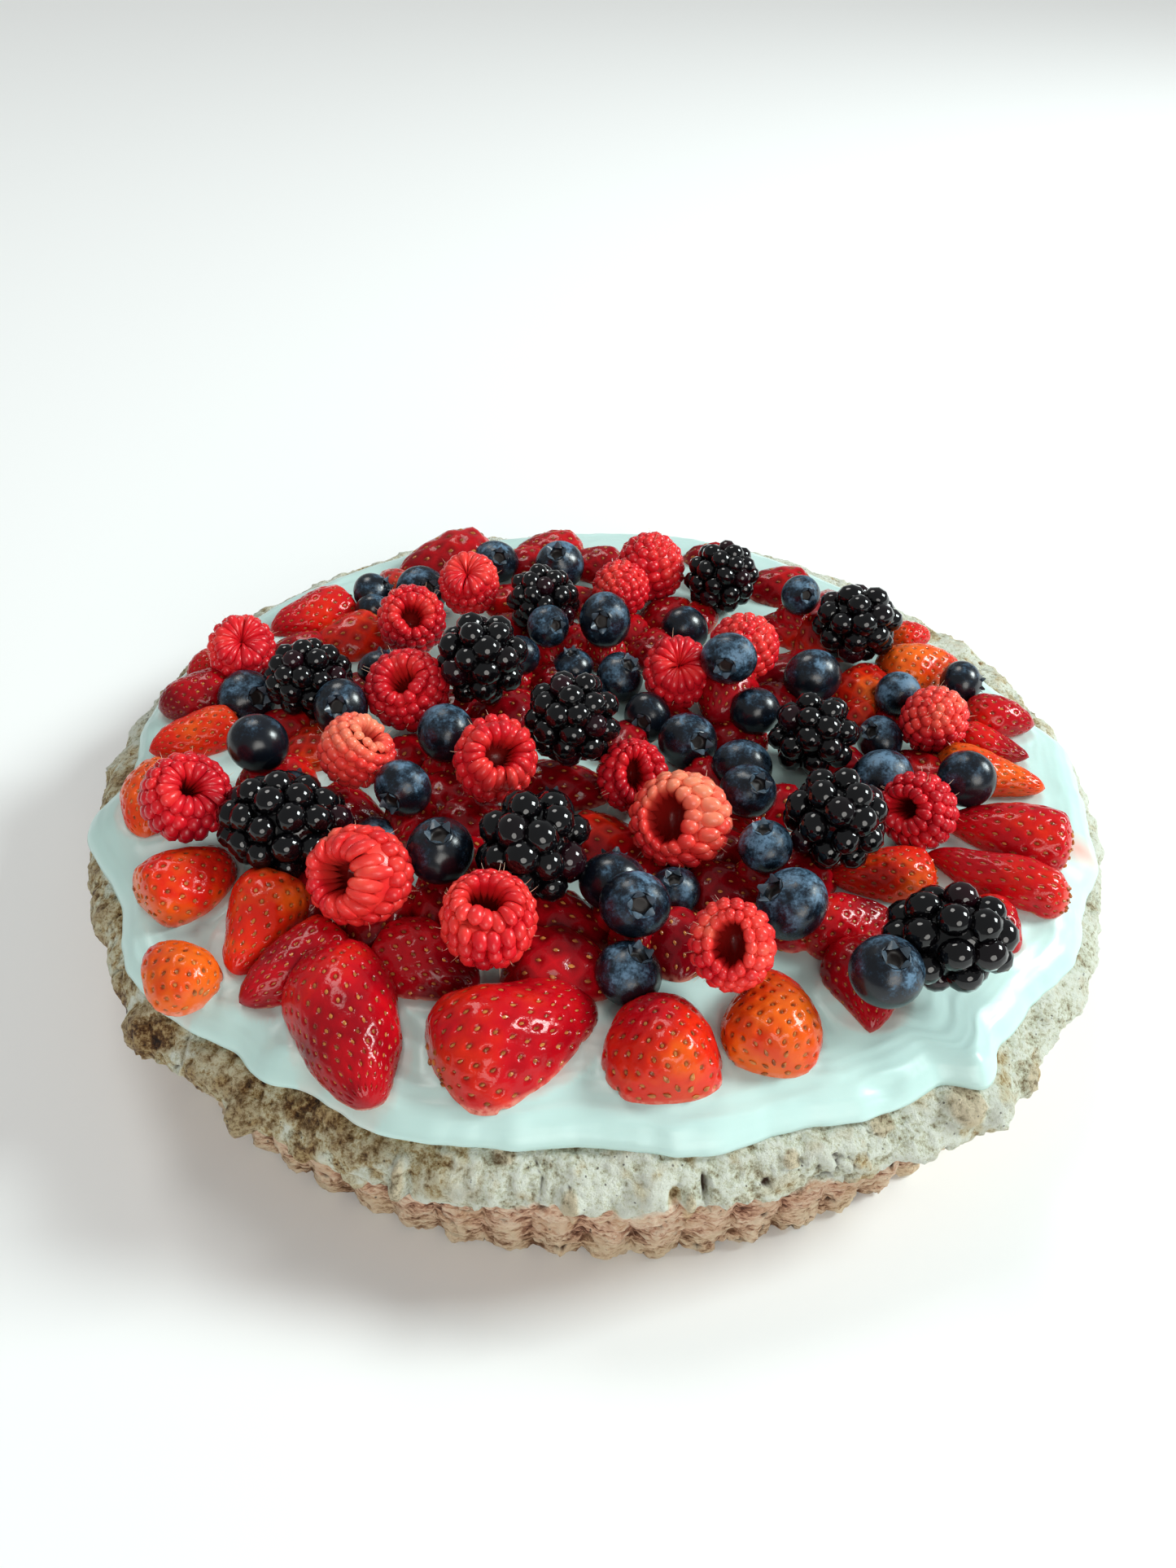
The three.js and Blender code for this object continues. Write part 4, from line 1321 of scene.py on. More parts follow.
# The middle's place across, away and up, in mm, and then the same
HEAP_BLUEBERRIES = [
    (-38, 87, 51.5, 15, -68, 41), (-16, 84, 52.5, 17, -106, 61), (-60, 65, 52, 16, -57, 33),
    (-76, 64, 51, 14, 3, 34), (-74, 54, 50, 12.5, -90, -20), (-17, 33, 60, 13, -56, 31),
    (0, 36, 61, 16.5, -100, 27), (-25, 24, 55, 12.5, 90, 10), (-9, 25, 50.5, 13, 171, 84),
    (5, 20, 51.5, 15, -32, 62), (-4, 14, 49.5, 11, 90, 0), (13, 1, 51, 14, -106, 16),
    (24, -11, 52, 16.5, -63, 31), (25, 47, 51.5, 15, 120, -20), (35, 8, 67, 15, -104, 10),
    (61, 55, 61, 13, -77, 30), (85, 11, 55, 14, 90, -10), (61, 17, 56, 17, 100, -30),
    (43, 0, 55, 14, 90, -30), (78, -5, 50.5, 13, -150, 45), (75, -25, 52, 16.5, 110, -20),
    (38, -22, 52, 16, 90, -20), (38, -38, 57, 14.5, -59, 54), (40, -62, 60, 13, 176, 78),
    (45, -78, 57, 16.5, -174, 42), (19, -68, 50, 12, -119, 77), (9, -84, 61, 16, -77, 43),
    (4, -73, 57, 15, 90, 20), (-36, -71, 63, 16.5, -81, 76), (-48, -49, 63, 14.5, -112, 2),
    (-41, -22, 60, 16, 60, -30), (-55, -55, 50.5, 13, -115, 45), (-101, 1, 52, 16, -37, 30),
    (-88, -32, 62, 16, 80, -20), (-71, -11, 59, 15, -89, 39), (-66, 19, 51, 14, 90, 30),
    (-79, -39, 51, 14, 90, 10), (-12, -41, 50, 12.5, 90, 20), (8, -96, 51.5, 15, 10, 69),
]


# %% Turning and placing


def facing(turn, tilt):
    level = math.radians(turn)
    rise = math.radians(tilt)
    way = Vector((math.cos(rise) * math.cos(level), math.cos(rise) * math.sin(level), math.sin(rise)))
    return Vector((0, 0, 1)).rotation_difference(way).to_matrix().to_4x4()


def middle_of(node):
    low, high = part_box(node)
    return (low + high) / 2


def put_in_box(piece, node):
    """Moves a turned piece's mesh so that its middle is the CAD node's middle."""
    spots = [point.co for point in piece.data.vertices]
    low = Vector([min(s[i] for s in spots) for i in range(3)])
    high = Vector([max(s[i] for s in spots) for i in range(3)])
    piece.data.transform(Matrix.Translation(middle_of(node) - (low + high) / 2))


# %% [markdown]
# ## Beads
#
# Raspberries and brambles are made of drupelets, small juicy beads in rows. One bead is modelled, and
# copies of it stand on a plain body in rows, each a little different in size and lean. A berry has up
# to a hundred of them, so a bead has few faces.

# %% Beads in rows


def bead(name, around, rows):
    bpy.ops.object.select_all(action="DESELECT")
    bpy.ops.mesh.primitive_uv_sphere_add(segments=around, ring_count=rows, radius=1.0)
    piece = fresh(name)
    edit(piece)
    select_points(piece, lambda p: p.x < -0.3)
    bpy.ops.transform.resize(value=(1.0, 0.8, 0.8), center_override=(0, 0, 0))
    done()
    return piece


def body_of_turn(profile, half, around, name):
    body = turned_from([(radius * half, height * half) for radius, height in profile], around, name)
    store(body, "tone", [-0.5] * len(body.data.vertices))
    return body


def beaded(master, rows, half, draw, name):
    """Beads in rows on a body: each row gives where, how many, half sizes, and the way they face."""
    pieces = []
    start = 0.0
    for radius, height, count, long, wide, thick, rise in rows:
        start += math.pi / count
        for index in range(count):
            angle = start + 2 * math.pi * (index + draw.uniform(-0.08, 0.08)) / count
            out = Vector((math.cos(angle), math.sin(angle), 0))
            tilt = math.radians(rise + draw.uniform(-4, 4))
            normal = out * math.cos(tilt) + Vector((0, 0, math.sin(tilt)))
            along = out * -math.sin(tilt) + Vector((0, 0, math.cos(tilt)))
            spot = (out * radius + Vector((0, 0, height))) * half * MM
            sizes = [half * MM * size * draw.uniform(0.93, 1.08) for size in (thick, wide, long)]
            one = copy_of(master, name)
            one.matrix_world = standing_on(spot, normal, along, sizes)
            store(one, "tone", [draw.uniform(-1, 1)] * len(one.data.vertices))
            pieces.append(one)
    bpy.context.view_layer.update()
    piece = join(pieces, name)
    apply_place(piece)
    return piece


# %% [markdown]
# ## Raspberries
#
# A raspberry is hollow where its core was pulled out, and the lobes of its rim bend over the edge and
# run down into the hole. A lobe is a sphere whose points are laid along an arc and then down a slope,
# so it stays round and closed. Some holes gape and others are pressed nearly shut, so five kinds are
# modelled. The fine hairs are small bent cones.

# %% Sizes of the raspberries
# Radius and height as shares of the half size
RASPBERRY_OUTSIDE = [
    (0, -0.9), (0.36, -0.82), (0.64, -0.6), (0.82, -0.22), (0.87, 0.15), (0.82, 0.46), (0.68, 0.66),
]
RASPBERRY_INSIDE = [(0.54, 0.62), (0.44, 0.4), (0.38, 0.1), (0.32, -0.2), (0.16, -0.42), (0, -0.46)]
# Radius and height of a row, how many beads, half length, half width, half thickness, rise in degrees
RASPBERRY_ROWS = [
    (0.77, 0.56, 17, 0.15, 0.165, 0.13, 46),
    (0.86, 0.31, 18, 0.17, 0.175, 0.15, 18),
    (0.86, -0.05, 16, 0.19, 0.20, 0.145, -4),
    (0.77, -0.35, 14, 0.18, 0.195, 0.15, -24),
    (0.60, -0.60, 11, 0.18, 0.19, 0.15, -45),
    (0.36, -0.78, 8, 0.16, 0.17, 0.15, -62),
    (0.13, -0.86, 3, 0.15, 0.16, 0.15, -80),
]
# A rim: how many lobes, the middle and radius of the arc that they follow, where the arc begins in
# degrees, and how many rows of beads it leaves out
SHORT_RIM = (15, (0.57, 0.64), 0.09, 0, 0)
LONG_RIM = (17, (0.55, 0.49), 0.22, -42, 1)
RIM_THICK = 0.12
# Where the arc ends, in degrees
RIM_TO = 180
# Which share of a lobe follows the arc, and how far the rest goes down the wall of the hole
ON_ARC = 0.6
WALL_LONG = 0.62
WALL_SLOPE = 0.22
RASPBERRY_HALF = 10
HAIRS = 34
HAIR_LONG = 2.6
HAIR_THICK = 0.09
HAIR_TIP = 0.02

# %% Hairs of the raspberries


def hair_shape():
    """A thin cone that bends to one side."""
    bpy.ops.object.select_all(action="DESELECT")
    bpy.ops.mesh.primitive_cone_add(vertices=3, radius1=HAIR_THICK * MM, radius2=HAIR_TIP * MM,
                                    depth=HAIR_LONG * MM)
    hair = fresh("hair")
    edit(hair)
    bpy.ops.mesh.select_all(action="SELECT")
    bpy.ops.transform.translate(value=(0, 0, HAIR_LONG * MM / 2))
    bpy.ops.mesh.subdivide(number_cuts=1)
    select_points(hair, lambda p: p.z > 0.6 * HAIR_LONG * MM)
    bpy.ops.transform.translate(value=(0.35 * MM, 0, 0))
    done()
    store(hair, "tone", [3.0] * len(hair.data.vertices))
    return hair


def hairs_on(half, rows, draw, name):
    places = []
    for _ in range(HAIRS):
        radius, height, _, _, _, thick, rise = draw.choice(rows)
        angle = draw.uniform(0, 2 * math.pi)
        out = Vector((math.cos(angle), math.sin(angle), 0))
        tilt = math.radians(rise + draw.uniform(-25, 25))
        lean = Vector((draw.uniform(-0.4, 0.4), draw.uniform(-0.4, 0.4), math.sin(tilt)))
        way = out * math.cos(tilt) + lean
        spot = (out * (radius + thick * 0.5) + Vector((0, 0, height))) * half * MM
        turn = way.to_track_quat("Z", "X").to_matrix().to_4x4()
        length = Matrix.Diagonal((1, 1, draw.uniform(0.6, 1.1), 1))
        places.append(Matrix.Translation(spot) @ turn @ length)
    return stamped(HAIR, places, name)


HAIR = hair_shape()
RASPBERRY_BEAD = bead("raspberry_bead", 8, 6)

# %% Rim and whole raspberries


def rim_lobe(half, hole, rim):
    """A lobe of the rim, bent over it from the outside down into the hole, at the direction of +X."""
    bpy.ops.object.select_all(action="DESELECT")
    bpy.ops.mesh.primitive_uv_sphere_add(segments=8, ring_count=14, radius=1.0)
    lobe = fresh("rim_lobe")
    lobes, arc_middle, arc_radius, arc_from, _ = rim
    deep = []
    for point in lobe.data.vertices:
        x, y, z = point.co
        blunt = min(1.35, math.sqrt((1 - z ** 4) / max(1e-6, 1 - z ** 2))) if abs(z) < 0.999 else 1
        share = 0.5 + math.asin(max(-1.0, min(1.0, z))) / math.pi
        degrees = arc_from + (RIM_TO - arc_from) * min(1.0, share / ON_ARC)
        drop = WALL_LONG * max(0.0, (share - ON_ARC) / (1 - ON_ARC))
        bend = math.radians(degrees)
        thick = RIM_THICK * (1 - 0.6 * between_limits(degrees, 90, 180))
        arc = arc_radius + RIM_THICK - thick + thick * x * blunt
        inward = min(0.0, math.cos(bend))
        radius = arc_middle[0] + arc * math.cos(bend) + hole * inward - WALL_SLOPE * drop
        height = arc_middle[1] + arc * math.sin(bend) - drop
        width = 1.28 * math.pi / lobes * max(0.12, radius) * y * blunt
        point.co = Vector((radius, width, height)) * half * MM
        # Painted shade: the lobe is darker where it bends over the rim and runs down into the hole
        deep.append(0.3 * between_limits(degrees, 120, 180) + 0.6 * drop / WALL_LONG)
    store(lobe, "deep", deep)
    return lobe


def rim_of(half, hole, rim, draw, name):
    lobe = rim_lobe(half, hole, rim)
    lobes = rim[0]
    copies = []
    for index in range(lobes):
        one = copy_of(lobe, name)
        turn = Matrix.Rotation(2 * math.pi * (index + draw.uniform(-0.14, 0.14)) / lobes, 4, "Z")
        lift = Matrix.Translation((draw.uniform(-0.04, 0.04) * half * MM, 0,
                                   draw.uniform(-0.06, 0.06) * half * MM))
        one.matrix_world = turn @ lift @ Matrix.Diagonal((1, draw.uniform(0.88, 1.15), 1, 1))
        store(one, "tone", [draw.uniform(-1, 1)] * len(one.data.vertices))
        copies.append(one)
    bpy.data.objects.remove(lobe)
    bpy.context.view_layer.update()
    ring = join(copies, name)
    apply_place(ring)
    return ring


def whole_raspberry(name, seed, hole, rim):
    """A raspberry whose hole is narrower than the plain one by a share of the half size."""
    draw = random.Random(seed)
    half = RASPBERRY_HALF
    inside = [(max(0, radius - hole * (1 if height < 0.5 else 0.4)), height)
              for radius, height in RASPBERRY_INSIDE]
    body = body_of_turn(RASPBERRY_OUTSIDE + inside[:-1] + RASPBERRY_INSIDE[-1:], half, 24, name + "_body")
    # Painted shade: the body is darker inside the hole
    in_hole = [float(p.co.xy.length < 0.66 * half * MM and p.co.z > -0.7 * half * MM)
               for p in body.data.vertices]
    store(body, "deep", in_hole)
    rows = RASPBERRY_ROWS[rim[-1]:]
    beads = beaded(RASPBERRY_BEAD, rows, half, draw, name + "_beads")
    ring = rim_of(half, hole, rim, draw, name + "_rim")
    berry = join([body, beads, ring, hairs_on(half, rows, draw, name + "_hairs")], name)
    berry["size"] = 2 * half
    print(name, len(berry.data.polygons), [round(v / MM, 1) for v in berry.dimensions])
    return berry


# By how much each kind's hole is narrower, and its rim: some are pressed nearly shut, and others gape
RASPBERRY_KINDS = [
    (0.16, SHORT_RIM), (0.06, SHORT_RIM), (-0.05, SHORT_RIM), (0.16, LONG_RIM), (-0.10, LONG_RIM),
]
RASPBERRY_MASTERS = [whole_raspberry(f"raspberry_shape_{n}", 20 + n, hole, rim)
                     for n, (hole, rim) in enumerate(RASPBERRY_KINDS)]

# %% [markdown]
# ## The raspberries' finish
# The beads are full of juice and let light through, so they get as much subsurface scattering as the
# cream, in red. A berry is painted paler on its upper side and darker and redder below, above all an
# unripe one, as painted shade, and its hole is painted a darker red, also a painted shade.
# Each bead has a tone of its own, which shifts the red a little, and the hairs have one beyond all
# beads, which picks them out.

# %% Raspberry material
# From unripe to ripe
RASPBERRY_REDS = [
    (0.0, (0.96, 0.30, 0.17)), (0.35, (0.90, 0.060, 0.045)), (0.65, (0.70, 0.010, 0.020)),
    (1.0, (0.36, 0.002, 0.012)),
]
# Painted shade in the hole of a raspberry
HOLE_SHADE = (0.40, 0.012, 0.010)
HAIR_COLOUR = (0.86, 0.60, 0.42)


def raspberry_material():
    material, tree, shader = start_material("raspberry_flesh")
    place = place_in(tree)
    of_bead = value_of(tree, "tone")
    tone = combine(tree, "ADD", combine(tree, "MULTIPLY", of_bead, 0.06), value_of(tree, "ripe"))
    tone = combine(tree, "ADD", tone, combine(tree, "SUBTRACT", cloudy(tree, place, 90.0), 0.5))
    # Painted shade: a darker red in the hole
    flesh = blend(tree, value_of(tree, "deep"), ramp(tree, tone, RASPBERRY_REDS), HOLE_SHADE)
    colour = blend(tree, stepped(tree, of_bead, 1.8, 2.2), flesh, HAIR_COLOUR)
    tree.links.new(colour, shader.inputs["Base Color"])
    shader.inputs["Roughness"].default_value = 0.27
    shader.inputs["Specular IOR Level"].default_value = 0.38
    shader.inputs["Subsurface Weight"].default_value = 0.2
    shader.inputs["Subsurface Radius"].default_value = (1.0, 0.25, 0.15)
    shader.inputs["Subsurface Scale"].default_value = 1.2 * MM
    bump(tree, shader, cloudy(tree, place, 1500.0, 2.0), 0.08 * MM, 0.5)
    return material


RASPBERRY = raspberry_material()

# %% Which raspberry is which
# How ripe each raspberry is: 0 pale pink orange, 1 deep red
RASPBERRY_RIPE = [
    0.5, 0.6, 0.72, 0.6, 0.75, 0.12, 0.55, 0.72, 0.1, 0.4, 0.5, 0.42, 0.6, 0.55, 0.62, 0.6, 0.3, 0.7,
]
# Which kind each is: shut, half open or gaping with a short rim, shut or gaping with a long rim
KIND_OF_RASPBERRY = [3, 1, 1, 3, 0, 1, 4, 1, 2, 4, 1, 2, 3, 0, 0, 0, 0, 1]
# Where a hole is pressed out of the middle, in shares of the half size: to the left and up, and how
# oval it is
PRESSED_HOLES = {
    5: (0.0, 0.10, 0.15), 7: (-0.06, 0.08, 0.10), 8: (0.0, 0.05, -0.30), 9: (0.26, 0.0, -0.25),
    10: (0.30, -0.04, -0.15), 11: (0.08, 0.30, 0.20), 12: (0.0, 0.04, -0.20), 18: (0.2, 0.1, 0.1),
}


def press_hole(piece, half, turn, tilt, left, up, oval):
    """Shifts and squeezes the hole of a raspberry that will face a way, and leaves its outline alone."""
    back = facing(turn, tilt).to_3x3().inverted()
    shift = back @ (Vector((-1, 0, 0)) * left + Vector((0, 0.63, 0.77)) * up)
    level = (back @ Vector((1, 0, 0))).xy.normalized()
    for point in piece.data.vertices:
        place = point.co
        share = 1 - (place.xy.length / (0.96 * half)) ** 2
        if share > 0 and place.z > -0.7 * half:
            along = place.xy.dot(level)
            beside = place.xy - level * along
            moved = level * along * (1 + oval * share) + beside * (1 - oval * share)
            moved += shift.xy * half * share
            point.co = (moved.x, moved.y, place.z)


def placed_whole(master, size, turn, tilt, name, draw, squash=0.05, pressed=None):
    """A copy of a whole fruit, sized, spun round its axis and turned to face its way."""
    piece = copy_of(master, name)
    share = size / master["size"]
    uneven = [share * draw.uniform(1 - squash, 1 + squash) for _ in range(3)]
    spin = Matrix.Rotation(draw.uniform(0, 2 * math.pi), 4, "Z")
    piece.data.transform(Matrix.Diagonal((*uneven, 1)) @ spin)
    if pressed:
        press_hole(piece, size / 2 * MM, turn, tilt, *pressed)
    piece.data.transform(facing(turn, tilt))
    return piece


# %% Place the raspberries
UNRIPE = 0.35
# How much darker and redder the lower side is painted than the upper one, a painted shade
LOWER_SHADE_UNRIPE = 0.5
LOWER_SHADE_RIPE = 0.15
RASPBERRY_SQUASH = 0.07

draw = random.Random(8)
rows = zip(RASPBERRIES, RASPBERRY_RIPE, KIND_OF_RASPBERRY)
for number, ((size, turn, tilt), ripe, kind) in enumerate(rows, 1):
    piece = placed_whole(RASPBERRY_MASTERS[kind], size, turn, tilt, f"ripe_raspberry_{number:02d}", draw,
                         RASPBERRY_SQUASH, PRESSED_HOLES.get(number))
    put_in_box(piece, f"raspberry_{number:02d}")
    middle = middle_of(f"raspberry_{number:02d}")
    lower_shade = LOWER_SHADE_UNRIPE if ripe < UNRIPE else LOWER_SHADE_RIPE
    # Painted shade: the lower side of each berry is stored as riper, which paints it darker and redder
    below = [between_limits(middle.z + 0.38 * size * MM - p.co.z, 0, 0.55 * size * MM)
             for p in piece.data.vertices]
    store(piece, "ripe", [ripe + lower_shade * share for share in below])
    dress(piece, RASPBERRY, "raspberry", f"raspberry_{number:02d}")
print("raspberries:", len(RASPBERRIES))

# %% [markdown]
# ## Brambles
#
# A bramble keeps its core, so it is closed at both ends. Its beads are bigger and rounder than those
# of a raspberry and stand close. The rows are worked out from the size of a bead: as many rows from
# end to end, and as many beads in a row, as there is room for.

# %% Brambles
# Half width and half length of the rows, as shares of the half size
BRAMBLE_WIDE = 0.77
BRAMBLE_LONG = 0.86
BRAMBLE_HALF = 12


def bramble_rows(bead_size, stretch):
    """Rows of beads from one end to the other, as far apart as the beads are big."""
    rows = []
    count = round(math.pi * BRAMBLE_LONG * stretch * 0.93 / (1.62 * bead_size))
    for index in range(count + 1):
        rise = math.pi * (0.5 - index / count)
        radius = BRAMBLE_WIDE * math.cos(rise)
        height = BRAMBLE_LONG * stretch * math.sin(rise)
        beads = max(1, round(2 * math.pi * radius / (1.86 * bead_size)))
        rows.append((radius if beads > 1 else 0.0, height, beads, bead_size, bead_size, bead_size,
                     math.degrees(rise)))
    return rows


BRAMBLE_BEAD = bead("bramble_bead", 10, 7)


def whole_bramble(name, seed, bead_size, stretch):
    draw = random.Random(seed)
    half = BRAMBLE_HALF
    rows = bramble_rows(bead_size, stretch)
    around = [math.radians(degrees) for degrees in range(-90, 91, 30)]
    outline = [(BRAMBLE_WIDE * math.cos(a), BRAMBLE_LONG * stretch * math.sin(a)) for a in around]
    outline = [(0, outline[0][1])] + outline[1:-1] + [(0, outline[-1][1])]
    body = body_of_turn(outline, half, 16, name + "_body")
    beads = beaded(BRAMBLE_BEAD, rows, half, draw, name + "_beads")
    berry = join([body, beads], name)
    berry["size"] = 2 * half
    print(name, len(berry.data.polygons), [round(v / MM, 1) for v in berry.dimensions])
    return berry


# A common one, one with big beads, and a long one: seed, half size of a bead, and stretch
BRAMBLE_KINDS = [(31, 0.28, 1.06), (32, 0.33, 1.08), (33, 0.29, 1.28)]
BRAMBLE_MASTERS = [whole_bramble(f"bramble_shape_{n}", *kind) for n, kind in enumerate(BRAMBLE_KINDS)]

# %% [markdown]
# ## The brambles' finish
#
# The skin is nearly black and very glossy, so what the eye reads is the window's reflection on each
# bead. A few beads are dark wine red. The tone that each bead was given chooses them.

# %% Bramble material
BRAMBLE_BLACK = (0.0025, 0.0022, 0.003)
BRAMBLE_WINE = (0.016, 0.002, 0.005)


def bramble_material():
    material, tree, shader = start_material("bramble_skin")
    wine = stepped(tree, value_of(tree, "tone"), 0.7, 1.0)
    colour = blend(tree, wine, BRAMBLE_BLACK, BRAMBLE_WINE)
    tree.links.new(colour, shader.inputs["Base Color"])
    shader.inputs["Roughness"].default_value = 0.06
    shader.inputs["Specular IOR Level"].default_value = 0.5
    bump(tree, shader, cloudy(tree, place_in(tree), 450.0, 2.0), 0.16 * MM, 0.4)
    return material


BRAMBLE = bramble_material()

# %% Place the brambles
BIG_BEADS = (3, 7, 8, 9, 10, 11)
# One that lies as flat as this shows its whole length and is a long one
FLAT_TILT = 10

draw = random.Random(9)
for number, (size, turn, tilt) in enumerate(BRAMBLES, 1):
    master = BRAMBLE_MASTERS[2 if tilt < FLAT_TILT else int(number in BIG_BEADS)]
    piece = placed_whole(master, size, turn, tilt, f"ripe_bramble_{number:02d}", draw)
    put_in_box(piece, f"bramble_{number:02d}")
    dress(piece, BRAMBLE, "bramble", f"bramble_{number:02d}")
print("brambles:", len(BRAMBLES))

# %% [markdown]
# ## Blueberries
#
# A blueberry is a sphere a little flat, with a crater at its top and five flaps round it, what is left
# of the flower. The crater is inset and pushed down from the sphere's own faces, so there is no seam.
# A flap is a cone made thin, and is copied five times.

# %% Blueberries
# Sizes in mm of the berry that is copied
BLUEBERRY_HALF = 7.5
BLUEBERRY_FLAT = (1.03, 1.03, 0.9)
CRATER_FACES = 2.9
CRATER_RIM = 0.35
CRATER_WALLS = (0.4, 0.15)
CRATER_DEEP = 2.5
CRATER_FLOOR = 5.0
# The dark crown: its radius, and how far beyond it fades
CRATER = 2.0
CROWN_FADES = 0.4
FLAPS = 5
FLAP_LEAN = 38
FLAP_OUT = 0.25
FLAP_HEIGHT = 6.5
FLAP_WIDE = 1.35
FLAP_TIP = 0.3
FLAP_LONG = 1.8
FLAP_THIN = 0.24
FLAP_UP = 0.5


def crown_flap():
    """One pointed flap of the crown, which stands at the crater's edge and leans out."""
    bpy.ops.object.select_all(action="DESELECT")
    bpy.ops.mesh.primitive_cone_add(vertices=6, radius1=FLAP_WIDE * MM, radius2=FLAP_TIP * MM,
                                    depth=FLAP_LONG * MM)
    flap = fresh("crown_flap")
    edit(flap)
    bpy.ops.mesh.select_all(action="SELECT")
    bpy.ops.transform.resize(value=(FLAP_THIN, 1, 1), center_override=(0, 0, 0))
    bpy.ops.transform.translate(value=(0, 0, FLAP_UP * MM))
    done()
    store(flap, "flap", [1.0] * len(flap.data.vertices))
    return flap


def whole_blueberry(name):
    """A sphere a little flat, with a crater at its top and flaps round it."""
    half = BLUEBERRY_HALF * MM
    bpy.ops.object.select_all(action="DESELECT")
    bpy.ops.mesh.primitive_uv_sphere_add(segments=20, ring_count=14, radius=half)
    berry = fresh(name)
    edit(berry)
    bpy.ops.mesh.select_all(action="SELECT")
    bpy.ops.transform.resize(value=BLUEBERRY_FLAT, center_override=(0, 0, 0))
    select_faces(berry, lambda face: face.calc_center_median().z > 0
                 and face.calc_center_median().xy.length < CRATER_FACES * MM)
    bpy.ops.mesh.inset(thickness=CRATER_RIM * MM, depth=0)
    bpy.ops.transform.translate(value=(0, 0, CRATER_RIM * MM))
    for wall in CRATER_WALLS:
        bpy.ops.mesh.inset(thickness=wall * MM, depth=0)
    bpy.ops.transform.translate(value=(0, 0, -CRATER_DEEP * MM))
    bpy.ops.transform.resize(value=(0.8, 0.8, 0.3), center_override=(0, 0, CRATER_FLOOR * MM))
    done()
    apply_modifier(berry, "SUBSURF", levels=1, render_levels=1)
    reach = (CRATER + CROWN_FADES) * MM
    crown = [between_limits(reach - p.co.xy.length, 0, 0.5 * MM) if p.co.z > 0.5 * half else 0.0
             for p in berry.data.vertices]
    store(berry, "crown", crown)
    flap = crown_flap()
    lean = Matrix.Rotation(math.radians(FLAP_LEAN), 4, "Y")
    outward = Matrix.Translation(((CRATER + FLAP_OUT) * MM, 0, FLAP_HEIGHT * MM))
    turns = [Matrix.Rotation(2 * math.pi * number / FLAPS, 4, "Z") for number in range(FLAPS)]
    flaps = stamped(flap, [turn @ outward @ lean for turn in turns], "flaps")
    bpy.data.objects.remove(flap)
    berry = join([berry, flaps], name)
    berry["size"] = 2 * BLUEBERRY_HALF
    print(name, len(berry.data.polygons), [round(v / MM, 1) for v in berry.dimensions])
    return berry


BLUEBERRY_MASTER = whole_blueberry("blueberry_shape")

# %% [markdown]
# ## The blueberries' finish
#
# The skin is a dark blue, nearly black, under a thin pale bloom that rubs off where the berry is
# touched. Noise in two sizes makes the worn patches, and a stored value says how much bloom a berry
# has. The same value is raised on the upper side of each berry, a painted sheen, so the pale bloom
# colour shows more there. Bloom is duller than bare skin, so the roughness follows it.

# %% Blueberry material
# From bare skin to full bloom
BLOOM_COLOURS = [
    (0.0, (0.004, 0.006, 0.011)), (0.4, (0.011, 0.028, 0.050)), (0.75, (0.045, 0.10, 0.16)),
    (1.0, (0.11, 0.21, 0.32)),
]
CROWN_COLOUR = (0.012, 0.007, 0.006)
FLAP_COLOUR = (0.10, 0.14, 0.18)
# The sums at which bloom begins and is full
BLOOM_BEGINS = 0.80
BLOOM_FULL = 1.36


def blueberry_material():
    material, tree, shader = start_material("blueberry_skin")
    place = place_in(tree)
    clouds = cloudy(tree, place, 170.0, 6.0, 0.72)
    specks = cloudy(tree, place, 1500.0, 2.0)
    strong = combine(tree, "SUBTRACT", combine(tree, "MULTIPLY", clouds, 1.9), 0.45)
    worn = combine(tree, "ADD", strong, combine(tree, "MULTIPLY", specks, 0.4))
    # Painted sheen: the stored value is raised on each berry's upper side, so the pale bloom colour shows
    # more there
    bloom_and_sheen_sum = combine(tree, "ADD", worn, combine(tree, "MULTIPLY", value_of(tree, "bloom_and_sheen"), 0.28))
    bloom_and_sheen_share = stepped(tree, bloom_and_sheen_sum, BLOOM_BEGINS, BLOOM_FULL)
    crown = value_of(tree, "crown")
    colour = blend(tree, crown, ramp(tree, bloom_and_sheen_share, BLOOM_COLOURS), CROWN_COLOUR)
    colour = blend(tree, combine(tree, "MULTIPLY", value_of(tree, "flap"), 0.6), colour, FLAP_COLOUR)
    tree.links.new(colour, shader.inputs["Base Color"])
    rough_crown = combine(tree, "MULTIPLY", crown, 0.5)
    gloss = combine(tree, "MAXIMUM", stepped(tree, bloom_and_sheen_share, 0.0, 1.0, 0.24, 0.55), rough_crown)
    tree.links.new(gloss, shader.inputs["Roughness"])
    bump(tree, shader, cloudy(tree, place, 900.0, 3.0), 0.08 * MM, 0.4)
    return material


BLUEBERRY = blueberry_material()

# %% Place the blueberries
# Painted sheen: how much more of the pale bloom colour the upper side of a blueberry gets
SKY_SHEEN_ABOVE = 0.8
HEAP_BLOOM = 0.45
BLOOMY_MORE = 0.4
RUBBED_LESS = 0.45
BLOOM_VARIES = 0.15
LOOSE_SQUASH = 0.05
HEAP_SQUASH = 0.07
# Which blueberries of the heap have most bloom on them, and which have next to none
BLOOMY = (2, 6, 15, 16, 17, 21, 24, 25)
RUBBED = (5, 12, 14, 18, 19, 28, 29, 34, 37, 38)


def store_bloom_and_sheen(piece, amount):
    """Stores how much bloom a berry has, raised on its upper side as a painted sheen."""
    store(piece, "bloom_and_sheen", [amount + SKY_SHEEN_ABOVE * point.normal.z for point in piece.data.vertices])


def heap_bloom(number):
    return HEAP_BLOOM + BLOOMY_MORE * (number in BLOOMY) - RUBBED_LESS * (number in RUBBED)


